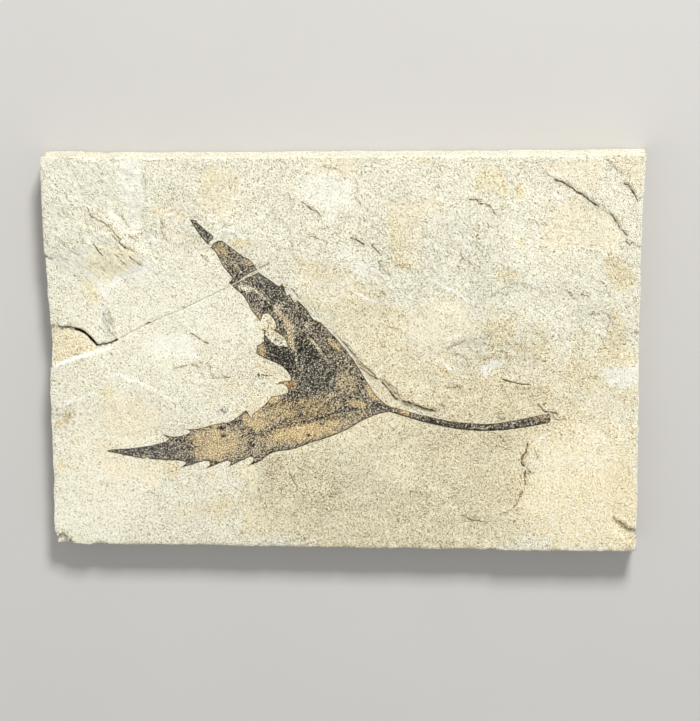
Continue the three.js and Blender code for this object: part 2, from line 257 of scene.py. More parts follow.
def counterclockwise(ring):
    x, y = ring.T
    area = np.sum(x * np.roll(y, -1) - y * np.roll(x, -1))
    return ring if area > 0 else ring[::-1]


def lattice(low, high, spacing, seed):
    # points in offset rows, each moved a little so that no rows show
    xs = np.arange(low[0], high[0], spacing)
    ys = np.arange(low[1], high[1], spacing * 0.866)
    x, y = np.meshgrid(xs, ys)
    x[1::2] += spacing / 2
    shift = np.random.default_rng(seed).uniform(-0.18, 0.18, (2, x.size)) * spacing
    return x.ravel() + shift[0], y.ravel() + shift[1]


def thinned(points, gap, others=()):
    # the points, in order, that are no nearer than gap to one kept before them or to the others
    cells = {}
    kept = []

    def crowded(px, py, cx, cy):
        for dx in (-1, 0, 1):
            for dy in (-1, 0, 1):
                for ox, oy in cells.get((cx + dx, cy + dy), ()):
                    if (ox - px) ** 2 + (oy - py) ** 2 < gap * gap:
                        return True
        return False

    for px, py in others:
        cells.setdefault((int(px // gap), int(py // gap)), []).append((px, py))
    for i, (px, py) in enumerate(points):
        cx, cy = int(px // gap), int(py // gap)
        if not crowded(px, py, cx, cy):
            kept.append(i)
            if not len(others):
                cells.setdefault((cx, cy), []).append((px, py))
    return np.array(kept)


def fillRing(points, ringCount):
    # triangles through all the points, inside the ring that the first ringCount of them make
    edges = [(i, (i + 1) % ringCount) for i in range(ringCount)]
    made = delaunay_2d_cdt([Vector(p) for p in points], edges, [], 1, 1e-7)
    if len(made[0]) != len(points):
        raise ValueError("two points of an outline lie on each other")
    return [list(face) for face in made[2]]


def treeOf(mesh):
    return BVHTree.FromPolygons([v.co for v in mesh.vertices], [p.vertices for p in mesh.polygons])


def heightOn(tree, x, y, missing):
    # height of a mesh's upper side under each point
    heights = np.empty(len(x))
    down = Vector((0, 0, -1))
    for i, (px, py) in enumerate(zip(x, y)):
        hit = tree.ray_cast(Vector((px * mm, py * mm, 0.05)), down)[0]
        heights[i] = missing if hit is None else hit.z / mm
    return heights


def makePiece(name, points, faces, marks, material, slotName, *cadNodes):
    mesh = bpy.data.meshes.new(name)
    mesh.from_pydata((np.asarray(points) * mm).tolist(), [], faces)
    mesh.shade_smooth()
    for mark, values in marks.items():
        layer = mesh.attributes.new(mark, "FLOAT", "POINT")
        layer.data.foreach_set("value", np.asarray(values, np.float32))
    mesh.materials.append(material)
    mesh.validate()
    piece = bpy.data.objects.new(name, mesh)
    bpy.context.collection.objects.link(piece)
    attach(piece, "root")
    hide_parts(*cadNodes)
    print(name, len(mesh.vertices), "points,", len(mesh.polygons), "faces")
    return piece


# Working tools: material nodes


class Nodes:
    # short ways to add and join the nodes of one material
    def __init__(self, name):
        self.material = bpy.data.materials.new(name)
        self.material.use_nodes = True
        self.tree = self.material.node_tree
        self.tree.nodes.clear()
        self.place = self.add("ShaderNodeTexCoord").outputs["Object"]

    def add(self, kind, inputs=None, **settings):
        node = self.tree.nodes.new(kind)
        for key, value in settings.items():
            setattr(node, key, value)
        for key, value in (inputs or {}).items():
            self.feed(node.inputs[key], value)
        return node

    def feed(self, socket, value):
        if isinstance(value, bpy.types.NodeSocket):
            self.tree.links.new(value, socket)
        else:
            socket.default_value = value

    def mark(self, name):
        return self.add("ShaderNodeAttribute", attribute_name=name).outputs["Fac"]

    def maths(self, operation, a, b=0.0, c=0.0):
        return self.add("ShaderNodeMath", {0: a, 1: b, 2: c}, operation=operation).outputs[0]

    def times(self, a, b):
        return self.maths("MULTIPLY", a, b)

    def vector(self, operation, a, b):
        return self.add("ShaderNodeVectorMath", {0: a, 1: b}, operation=operation).outputs[0]

    def between(self, value, low, high, newLow=0.0, newHigh=1.0):
        node = self.add(
            "ShaderNodeMapRange",
            {"Value": value, "From Min": low, "From Max": high, "To Min": newLow, "To Max": newHigh},
            interpolation_type="SMOOTHSTEP",
        )
        return node.outputs["Result"]

    def thinLine(self, value, wide, thin, middle=0.5):
        # 1 where a noise crosses its middle, falling to 0 at a distance of wide
        away = self.maths("ABSOLUTE", self.maths("SUBTRACT", value, middle))
        return self.between(away, wide, thin)

    def stretched(self, scale, turn=0.0, where=None):
        turned = self.add(
            "ShaderNodeMapping",
            {"Vector": self.place if where is None else where, "Rotation": (0, 0, math.radians(turn))},
        )
        return self.add("ShaderNodeMapping", {"Vector": turned.outputs[0], "Scale": scale}).outputs[0]

    def bent(self, size, amount):
        # the place moved about by a noise, both in millimetres, so that grains curl
        swirl = self.add(
            "ShaderNodeTexNoise", {"Vector": self.place, "Scale": 1 / (size * mm), "Detail": 1.0}
        )
        shift = self.vector("SUBTRACT", swirl.outputs["Color"], (0.5, 0.5, 0.5))
        shift = self.add("ShaderNodeVectorMath", {0: shift, "Scale": amount * mm}, operation="SCALE")
        return self.vector("ADD", self.place, shift.outputs[0])

    def noise(self, size, detail, roughness=0.5, distortion=0.0, where=None):
        # size in millimetres
        node = self.add(
            "ShaderNodeTexNoise",
            {
                "Vector": self.place if where is None else where,
                "Scale": 1 / (size * mm),
                "Detail": detail,
                "Roughness": roughness,
                "Distortion": distortion,
            },
        )
        return node.outputs["Fac"]

    def cells(self, size, where):
        # each cell's own random colour
        node = self.add("ShaderNodeTexVoronoi", {"Vector": where, "Scale": 1 / (size * mm)}, feature="F1")
        return self.add("ShaderNodeSeparateColor", {"Color": node.outputs["Color"]})

    def mix(self, share, a, b, blend="MIX"):
        node = self.add("ShaderNodeMix", data_type="RGBA", blend_type=blend)
        self.feed(node.inputs["Factor"], share)
        self.feed(node.inputs[6], a)
        self.feed(node.inputs[7], b)
        return node.outputs[2]

    def ramp(self, value, places, colours):
        node = self.add("ShaderNodeValToRGB", {"Fac": value})
        elements = node.color_ramp.elements
        while len(elements) < len(places):
            elements.new(0.5)
        for element, place, colour in zip(elements, places, colours):
            element.position, element.color = place, tint(*colour)
        return node.outputs["Color"]

    def total(self, *terms):
        # the sum of value x amount over (value, amount) pairs
        value = 0.0
        for part, amount in terms:
            value = self.maths("MULTIPLY_ADD", part, amount, value)
        return value

    def finish(self, colour, roughness, height, **constants):
        # height: what stands up from the mesh, in millimetres; constants go on the shader's own sockets
        shader = self.add("ShaderNodeBsdfPrincipled", {"Base Color": colour, "Roughness": roughness})
        for key, value in constants.items():
            shader.inputs[key].default_value = value
        bump = self.add("ShaderNodeBump", {"Height": height, "Distance": mm, "Strength": 1.0})
        self.feed(shader.inputs["Normal"], bump.outputs["Normal"])
        output = self.add("ShaderNodeOutputMaterial")
        self.tree.links.new(shader.outputs[0], output.inputs["Surface"])
        return self.material


albedoShare = 0.86  # the lights bring a surface of this albedo to full white


def tint(red, green, blue):
    # a colour as it looks in good light, 0 to 255, to the shader's linear scale
    linear = []
    for part in (red, green, blue):
        part /= 255
        linear.append(part / 12.92 if part < 0.04045 else ((part + 0.055) / 1.055) ** 2.4)
    return (*(value * albedoShare for value in linear), 1)


# Limestone

# from the darkest grain to the lightest
stoneColours = {
    "pale": [(150, 132, 88), (210, 199, 163), (241, 235, 207), (252, 247, 223), (255, 255, 238)],
    "clean": [(160, 148, 114), (218, 211, 183), (245, 241, 220), (253, 250, 232), (255, 255, 243)],
    "tan": [(146, 126, 84), (202, 186, 147), (232, 219, 187), (246, 237, 207), (254, 250, 228)],
    "brown": [(122, 98, 54), (190, 166, 119), (230, 211, 167), (249, 234, 195), (255, 249, 217)],
    "yellow": [(154, 128, 78), (212, 188, 142), (243, 224, 184), (253, 239, 202), (255, 250, 218)],
    "ochre": [(154, 132, 94), (211, 190, 152), (238, 219, 180), (252, 238, 202), (255, 250, 218)],
    "gold": [(160, 134, 80), (212, 194, 144), (240, 225, 180), (250, 240, 200), (255, 252, 224)],
    "amber": [(136, 102, 54), (194, 163, 108), (230, 206, 154), (244, 229, 187), (254, 248, 210)],
    "blush": (240, 220, 194),
    # dirt and painted shade of grooves and dark scars: nearly black, then brown where it thins
    "dirtAndShade": (34, 25, 6),
    "fringe": (146, 124, 82),
    "remnant": (92, 72, 48),
    # bruises and painted highlights
    "bruiseAndHighlight": (255, 254, 246),
    # grey smudges, and a painted shadow
    "smudgeAndShade": (92, 88, 80),
}

# sizes and depths in millimetres, and how far each grain is drawn out along the split
stoneGrain = {
    "stoneSwirl": (2.6, 1.1),  # size and amount of the curl in the fine grain
    "fibreSwirl": (6, 5),
    "splitSwirl": (9, 5),
    "blotchSize": 5.5,
    "cloudSize": 15,
    "foldSize": 2.6,
    "bedSize": 1.5,
    "bedStretch": 0.04,
    "blushSize": 3.2,
    "crumbSize": 0.5,
    "grainSize": 0.34,
    "netSize": 0.62,
    "netStretch": 0.5,
    "fibreSize": 0.42,
    "fibreStretch": 0.4,
    "curdSize": 2.2,
    "hatchSize": 1.1,
    "hatchStretch": 0.42,
    "streakSize": 0.95,
    "streakStretch": 0.2,
    "splitSize": 2.2,
    "splitStretch": 0.24,
    "splitTurn": 50,  # degrees that hatching and streaks slant
    "grainDepth": 0.22,
    "netDepth": 0.16,
    "curdDepth": 0.05,
    "ledgeDepth": 0.1,
    "streakDepth": 0.22,
    "splitDepth": 0.16,
    "lineDepth": 0.14,
    "bedDepth": 0.7,
}


def limestone():
    n = Nodes("pale_limestone")
    look = stoneGrain
    where = n.bent(*look["stoneSwirl"])
    curling = n.bent(*look["fibreSwirl"])
    slanting = n.bent(*look["splitSwirl"])

    def slanted(kind, place, detail, roughness, distortion):
        # a noise drawn out along the slant that the stone splits on
        run = n.stretched((look[kind + "Stretch"], 1, 1), look["splitTurn"], place)
        return n.noise(look[kind + "Size"], detail, roughness, distortion, run)

    net = slanted("net", where, 2, 0.55, 0.8)
    fibre = slanted("fibre", curling, 1, 0.5, 0.3)
    hatch = slanted("hatch", slanting, 3, 0.6, 0.5)
    streak = slanted("streak", slanting, 4, 0.66, 0.25)
    split = slanted("split", slanting, 4, 0.6, 0.3)
    grain = n.noise(look["grainSize"], 0, 0.5, 0, where)
    curd = n.noise(look["curdSize"], 5, 0.66, 0.6, where)
    blotch = n.noise(look["blotchSize"], 5, 0.62, 0.6)
    fold = n.noise(look["foldSize"], 3, 0.55, 0.9, curling)
    cloud = n.noise(look["cloudSize"], 3, 0.6, 0.3)
    beds = n.noise(look["bedSize"], 3, 0.6, 0.2, n.stretched((look["bedStretch"], look["bedStretch"], 1)))
    clean, tan, brown, yellow, ochre, gold, amber = (
        n.mark(key) for key in ("clean", "tan", "brown", "yellow", "ochre", "gold", "amber")
    )
    dirtAndShade, bruiseAndHighlight, smudgeAndShade, ragged, film = (
        n.mark(key) for key in ("dirtAndShade", "bruiseAndHighlight", "smudgeAndShade", "ragged", "film")
    )
    pale, contrast, streaky, side = (n.mark(key) for key in ("pale", "contrast", "streaky", "side"))

    def centred(value):
        return n.maths("SUBTRACT", value, 0.5)

    # a stain's edge breaks up into mottles, and small bright islands stay inside it
    mottle = n.total((centred(curd), 1.0), (centred(blotch), 1.1), (centred(grain), 0.3))

    def stain(mark, low=0.36, high=0.64):
        edge = n.times(mark, n.maths("SUBTRACT", 1.12, mark))
        return n.between(n.total((n.times(mottle, edge), 5.0), (mark, 1.0)), low, high)

    clean, tan, brown, ochre, gold = (stain(mark, 0.25, 0.75) for mark in (clean, tan, brown, ochre, gold))
    amber = stain(amber)
    # loose brown mottling where the stone is coarse
    rusty = n.times(n.between(n.total((curd, 0.55), (blotch, 0.45)), 0.5, 0.62), contrast)
    rusty = n.times(rusty, n.between(cloud, 0.4, 0.56))

    # how strongly the grain swings from dark to light, and over how wide a range
    hackled = n.maths("MAXIMUM", streaky, ragged)
    swing = n.total(
        (centred(grain), 3.0),
        (centred(fibre), 1.8),
        (centred(net), 0.4),
        (n.times(centred(streak), hackled), 1.0),
    )
    wide = n.total((contrast, 2.0), (clean, -0.25), (tan, -0.35), (streaky, -0.2), (1.0, 0.48))
    # thin darker lines between the grains, wider apart and deeper where it is coarse
    often = n.times(n.between(cloud, 0.34, 0.56, 0.25, 1.0), n.total((contrast, 1.0), (streaky, 0.5)))
    line = n.thinLine(net, 0.065, 0.012)
    seam = n.thinLine(curd, 0.03, 0.006, 0.48)
    slit = n.times(n.times(n.thinLine(hatch, 0.05, 0.008), often), n.between(blotch, 0.42, 0.58))
    # thin ridges that curl between the flakes, with a painted highlight on them
    ridge = n.thinLine(fold, 0.028, 0.006)
    # the hackles' own thin slanting lines
    splitLine = n.thinLine(split, 0.035, 0.006)
    streakLine = n.thinLine(streak, 0.05, 0.01)
    lines = n.total(
        (n.times(line, wide), 0.26),
        (n.times(seam, often), 0.34),
        (slit, 0.24),
        (n.times(ridge, often), -0.3),
        (n.times(splitLine, hackled), 0.55),
        (n.times(streakLine, hackled), 0.42),
    )
    tone = n.total(
        (n.times(swing, wide), 1.0),
        (lines, -1.0),
        (streaky, 0.36),
        (contrast, 0.57),
        (often, 0.04),
        (centred(pale), 0.28),
        (centred(blotch), 0.08),
        (n.times(side, n.maths("SUBTRACT", beds, 0.55)), 0.9),
        (1.0, 0.705),
    )

    def ramp(name):
        return n.ramp(tone, (0.0, 0.28, 0.5, 0.74, 1.0), stoneColours[name])

    yellow = n.between(n.total((mottle, 0.8), (yellow, 1.0)), 0.3, 0.8, 0.0, 0.85)
    colour = n.mix(yellow, ramp("pale"), ramp("yellow"))
    for mark, name in ((clean, "clean"), (tan, "tan"), (ochre, "ochre"), (gold, "gold")):
        colour = n.mix(mark, colour, ramp(name))
    browned = ramp("brown")
    colour = n.mix(n.times(rusty, 0.3), colour, browned)
    colour = n.mix(n.times(brown, 0.9), colour, browned)
    colour = n.mix(amber, colour, ramp("amber"))
    blush = n.between(n.noise(look["blushSize"], 4, 0.62, 0.8), 0.48, 0.66)
    blush = n.times(n.times(blush, n.between(tone, 0.85, 0.45)), 0.4)
    colour = n.mix(blush, colour, tint(*stoneColours["blush"]), "MULTIPLY")
    # smudges, and the painted shadow on the shard, go grey
    smudgedAndShaded = n.times(smudgeAndShade, n.between(net, 0.58, 0.42))
    colour = n.mix(smudgedAndShaded, colour, tint(*stoneColours["smudgeAndShade"]))
    # random worn specks, and the bruises and painted highlights, go nearly white
    broken = n.between(n.total((grain, 0.4), (net, 0.6)), 0.42, 0.52)
    worn = n.between(n.total((broken, 0.35), (bruiseAndHighlight, 1.0)), 0.3, 0.95)
    colour = n.mix(worn, colour, tint(*stoneColours["bruiseAndHighlight"]))
    # dirt and painted shade are brown where they thin out and nearly black in the deepest lines, which
    # alone are unbroken
    patchy = n.between(n.total((net, 0.7), (grain, 0.3), (dirtAndShade, 0.22)), 0.46, 0.66, 0.6, 1.2)
    dirtAndShadeShare = n.times(dirtAndShade, patchy)
    colour = n.mix(n.between(dirtAndShadeShare, 0.25, 0.62, 0.0, 0.85), colour, tint(*stoneColours["fringe"]))
    colour = n.mix(n.between(dirtAndShadeShare, 0.62, 1.02), colour, tint(*stoneColours["dirtAndShade"]))
    # crumbs of the film that the leaf's torn margins left behind
    crumb = n.cells(look["crumbSize"], where).outputs[0]
    crumb = n.between(n.total((net, -0.8), (crumb, -1.0), (film, 1.0), (1.0, 0.4)), -0.06, 0.06)
    crumb = n.times(crumb, n.between(film, 0.02, 0.15))
    colour = n.mix(crumb, colour, tint(*stoneColours["remnant"]))

    depth = n.total((contrast, 0.9), (brown, 0.3), (clean, -0.3), (tan, -0.3), (1.0, 0.4))
    relief = n.total((curd, look["curdDepth"]), (grain, look["grainDepth"]), (net, look["netDepth"]))
    # small flakes that stand a step above one another
    ledges = n.total(
        (n.between(curd, 0.425, 0.445), 0.8),
        (n.between(curd, 0.53, 0.55), 1.0),
        (n.between(blotch, 0.5, 0.51), 1.2),
    )
    height = n.total(
        (n.times(relief, depth), 1.0),
        (n.times(ledges, often), look["ledgeDepth"]),
        (lines, -look["lineDepth"]),
        (tan, -0.08),
        (n.times(streak, hackled), look["streakDepth"]),
        (n.times(n.between(split, 0.47, 0.5), hackled), look["splitDepth"]),
        (n.times(beds, side), look["bedDepth"]),
    )
    return n.finish(colour, n.between(grain, 0.3, 0.7, 0.96, 0.86), height, **{"Specular IOR Level": 0.12})


# Slab

slabLook = {
    "fineSpacing": 0.45,  # one point in four is kept where the face is plain
    "rimSpacing": 0.8,
    "sideLevels": 15,
    "arris": 0.2,  # width of the broken bevel round the upper rim
    "sideUneven": 0.14,
    "backSpacing": 3.2,
    "backRelief": 0.25,
    "softSpacing": 0.9,  # of the grid that worn steps are read from
    "softPasses": (3, 16),  # how often that grid is smoothed, for worn and for gentle steps
    "hackleDepth": 0.17,
    "scarLip": 0.16,
    "sawnSide": {"side": 0.2, "bruiseAndHighlight": 0, "clean": 1, "tan": 0, "contrast": -0.5, "pale": 0.5},
    "sawnRim": {"side": 0, "bruiseAndHighlight": 0.2, "contrast": 0.25},
    "brokenSide": {"side": 1, "contrast": 0.6, "pale": 0.45, "yellow": 0.25},
}

# the areas below are ovals laid over one another, as paint takes them

# how uneven the split face is
unevenAreas = [
    (0, 20, 150, 30, 0, 0.1),
    (-95, 58, 24, 26, 0, 0.08),
    (-62, 60, 14, 24, 0, 0.07),
    (10, 62, 66, 24, 0, 0.085),
    (40, 34, 30, 18, 0, 0.12),
    (90, 45, 28, 32, 0, 0.13),
    (-70, 5, 45, 28, 0, 0.035),
    (-95, 4, 22, 9, 0, 0.07),
    (-100, -40, 20, 30, 0, 0.05),
    (-50, -60, 60, 20, 0, 0.05),
    (30, -55, 45, 28, 0, 0.075),
    (92, -54, 24, 24, 0, 0.03),
    (95, -10, 18, 18, 0, 0.07),
    (55, 0, 22, 14, 0, 0.08),
    (-60, -38, 36, 7, -5, 0.02),
    (-10, -20, 28, 18, -20, 0.025),
    (-25, 10, 14, 26, 40, 0.03),
    (45, -26, 38, 4, 0, 0.03),
]

# how coarse and strongly marked the grain is
contrastAreas = [
    (-95, 58, 24, 26, 0, 0.3),
    (10, 55, 80, 34, 0, 0.45),
    (40, 20, 50, 30, 0, 0.65),
    (42, 10, 16, 12, 0, 0.45),
    (90, 45, 28, 32, 0, 0.4),
    (-70, 5, 45, 30, 0, 0.3),
    (-95, -50, 24, 30, 0, 0.25),
    (-40, -60, 40, 20, 0, 0.4),
    (15, -62, 50, 20, 0, 0.95),
    (-26, -50, 8, 12, 0, 0.95),
    (-6, -56, 16, 18, 0, 0.95),
    (45, -35, 30, 14, 0, 0.75),
    (92, -54, 24, 24, 0, 0.15),
    (60, -2, 26, 14, 0, 0.7),
]

# how yellow the stone is
yellowAreas = [
    (40, -30, 84, 44, 0, 0.8),
    (20, -58, 72, 24, 0, 0.75),
    (52, -42, 28, 14, 0, 1),
    (108, -64, 8, 14, 0, 1),
    (6, 16, 26, 13, -45, 0.75),
    (-88, 36, 12, 8, 0, 0.8),
    (20, -66, 50, 14, 0, 0.95),
    (-4, -54, 12, 14, 0, 1),
    (104, -4, 10, 10, 0, 0.85),
    (107, -50, 8, 14, 0, 0.95),
    (56, 69.5, 6, 6, 0, 0.7),
    (96, -64, 17.5, 14, 0, 0.8),
    (90, -50, 22, 22, 0, 0.62),
    (-95, -45, 18, 20, 0, 0.4),
    (-70, -30, 22, 10, 0, 0.3),
]

# how pale the stone is: 0.5 is plain
paleAreas = [
    (-27, 11, 6, 6, 0, 0.55),
    (-48, -4, 16, 12, 0, 0.42),
    (6, 16, 24, 11, -45, 0.85),
    (-3, 63, 13, 8, 0, 0.8),
    (41, 57, 8, 8, 0, 0.8),
    (68, 48, 8, 14, 0, 0.85),
    (106, -7, 7, 4, 0, 0.9),
    (-65, 8, 25, 26, 0, 0.8),
    (-101, -59, 16, 16.5, 0, 0.8),
    (90, -46, 19, 16, 0, 0.6),
    (-86, 48, 14, 7, -25, 0.8),
    (-60, 30, 12, 8, 0, 0.75),
    (-95, 66, 22, 14, 0, 0.75),
    (-97, 36, 20, 6, 0, 0.85),
    (-92, 52, 12, 4, -35, 0.25),
    (-45, 62, 13, 8, 0, 0.28),
    (-6, 46, 9, 5, 0, 0.1),
    (20, 28, 5, 10, 0, 0.25),
    (42, 42, 14, 12, 0, 0.7),
    (38, 10, 18, 11, 0, 0.8),
    (56, 22, 6, 12, 0, 0.7),
    (20, -50, 20, 12, 0, 0.85),
    (-24, -45, 6, 6, 0, 0),
    (72, -13, 20, 9, 0, 0.25),
    (90, -28, 12, 5, 0, 0.1),
    (67, -48, 4, 10, 0, 0.3),
    (92, -60, 20, 16, 0, 0.35),
    (-60, -13, 16, 6, 0, 0.6),
    (-42, -6, 14, 12, 0, 0.35),
    (25, 38, 6, 9, 0, 0.35),
    (83, 58, 12, 9, 0, 0.3),
    (48, -38, 15, 8, 0, 0.3),
    (70, -8, 18, 3.5, 0, 0.25),
    (90, 39, 16, 7, 0, 0.35),
    (-92, 37, 16, 6, 0, 1.15),
    (16, -50, 16, 10, 0, 1.15),
    (-20, -66, 12, 8, 0, 1),
    (2, -70, 12, 6, 0, 1.1),
    (51, 36, 6, 12, 0, 0.75),
    (106, 10, 7, 5, 0, 0.85),
    (-8, -48, 12, 8, 0, 0.85),
    (-36, -54, 5, 10, 0, 1),
    (24, -8, 7, 8, 0, 0.85),
    (55, -68, 10, 8, 0, 0.85),
    (22, 52, 9, 16, 0, 0.3),
    (-46, 58, 12, 9, 0, 0.35),
    (-22, 36, 7, 5, -45, 0.35),
    (50, -42, 16, 12, 0, 0.66),
    (49, -21, 6, 4, 0, 0.2),
    (-92, 33, 18, 7, 0, 1.6),
    (14, -51, 14, 8, 0, 1.25),
    (-25, -60, 9, 5, 0, 1.2),
    (-38, -52, 5, 6, 0, 1.2),
    (3, 13, 3, 7, 40, 1.1),
    (64, -9, 20, 3.4, 0, 0.15),
    (-85, -37, 13, 11, 0, 0.4),
    (-55, -6, 9, 8, 0, 0.3),
    (16, 9, 5, 6, 0, 0.35),
    (10, -42, 14, 12, 0, 1.2),
    (-24, -56, 9, 7, 0, 1),
]

# grey smudges, and a painted shadow over the flat shard beside the stalk
smudgeAndShadeAreas = [
    (-91, 13.5, 2.2, 6, 14, 0.45),
    (27, -19.4, 6, 1.2, -15, 0.5),
    (-109, -24, 4, 3, 0, 0.3),
    (-47.2, -22.6, 2.4, 1.2, 20, 0.9),
]

# where the stone splits in slanting hackles
streakAreas = [
    (-98, 60, 22, 24, 0, 0.85),
    (-92, 40, 26, 9, -15, 1),
    (-86, 53, 9, 4.5, -50, 0.05),
    (-79, 48, 7, 7, 0, 0.1),
    (-60, 62, 10, 16, 0, 0.35),
    (-100, 24, 14, 10, 0, 0.3),
    (-70, -12, 22, 12, 0, 0.22),
    (-60, 14, 20, 12, 0, 0.2),
    (-90.5, 13, 3, 7, 12, 0.5),
    (95, 62, 18, 14, 0, 0.3),
    (104, 34, 8, 14, 0, 0.3),
    (78, 18, 24, 8, 0, 0.25),
]

# where a lamina's edge has worn to a slope: 1 is all slope, 0 a clean step
wornAreas = [
    (-95, 36, 26, 7, 0, 1),
    (-79, 50, 6, 16, 0, 0.9),
    (-76, 70, 4, 8, 0, 0.45),
    (-72, 47, 6, 3, -30, 0.85),
    (-60, 44, 10, 2.5, 0, 0.55),
    (-30, 38, 20, 5, -40, 0.35),
    (0, 4, 16, 5, -50, 0.3),
    (34, -16, 14, 8, 0, 0.1),
    (42, -4, 5, 10, 0, 0.7),
    (52, 10, 12, 8, 0, 0.7),
    (66, 28, 9, 3, 0, 0.2),
    (84, 25, 8, 4, 0, 0.75),
    (99, 14, 10, 7, 0, 0.35),
    (74, 76, 6, 4, 0, 0.8),
    (88, 66, 10, 4, -30, 0),
    (99, 57.5, 4, 3, 0, 0.75),
    (107, 48, 5, 6, -50, 0.05),
    (103, 75, 4, 3, 0, 0.2),
    (106, 66, 5, 4, 0, 0.3),
    (88, -29, 20, 3, 0, 0.45),
    (70, -50, 4, 9, 0, 0.3),
    (62, -66, 5, 8, 0, 0.85),
    (-82, -22, 20, 16, 0, 0.6),
    (-113.4, 11, 3, 3, 0, 1),
]

# where a step has all but gone
gentleAreas = [
    (-49, 48.5, 7, 4, -20, 1),
    (-40, 43.5, 9, 4, -35, 1),
    (-30, 36, 9, 4, -40, 1),
    (-19, 26.5, 9, 4, -48, 1),
    (-9, 15, 9, 3.6, -50, 0.9),
    (-96, 34.5, 26, 5, 0, 0.95),
    (-74, 46.5, 9, 4, -25, 0.9),
    (-60, 43.8, 10, 4, 0, 0.8),
    (-113.6, 11.2, 2.6, 3, 0, 1),
    (66, 28, 13, 4, 0, 0.85),
    (86, 25.5, 8, 4, -10, 0.9),
    (95, 17.5, 6, 5.4, -45, 0.95),
    (103.5, 13, 5, 8, 0, 0.95),
    (110, 9.8, 7, 3.4, 0, 0.95),
    (100, -29, 19, 4, 0, 0.95),
]

# where crumbs of the leaf film lie on the stone
crumbAreas = [
    (-26.8, 9.6, 5.4, 3.6, -40, 0.14),
    (-25, 5.6, 3.4, 1.6, -40, 0.3),
    (-30.6, 9.7, 1.6, 0.8, 0, 0.6),
    (-31.6, -8.4, 3, 0.8, 0, 0.4),
]

crackLine = [
    (-88.5, 5.6), (-75, 12.6), (-61, 18.7), (-48.1, 25.1), (-42.2, 28), (-35.4, 31.6), (-31, 34.2),
]
crackFar = [
    (-32.5, 33.7), (-27.4, 36.9), (-22.4, 39.7), (-16.9, 43.2), (-10.8, 47.1), (-4.6, 50.6), (3.1, 54.9),
    (10.0, 58.8), (18.4, 63.9), (27.2, 68.1), (35.9, 72.8), (45.0, 77.8),
]
creviceLine = [(61.2, -9.2), (64.5, -10.3), (68.4, -11.2), (72.4, -11.5)]
wedgeStart = [(-111.2, 11.2), (-109.2, 10.6), (-106, 10.5), (-103.2, 9.9)]
wedgeLine = [(-104.6, 10.3), (-101.4, 9.1), (-99.1, 7.1), (-96.9, 4.7), (-95.4, 3.0)]
wedgeEnd = [(-95.6, 3.7), (-93, 3.9), (-90.6, 4.5), (-89, 5.3), (-87.4, 6.1)]

# grooves: depth, half width, how dark the dirt and painted shade in them is, and their line
grooves = [
    (0.14, 0.17, 0.75, crackLine),
    (0.1, 0.14, 0.35, crackFar),
    (0.6, 0.36, 1, creviceLine),
    (0.4, 0.46, 0.9, wedgeStart),
    (0.9, 0.9, 1, wedgeLine),
    (0.6, 0.42, 1, wedgeEnd),
]
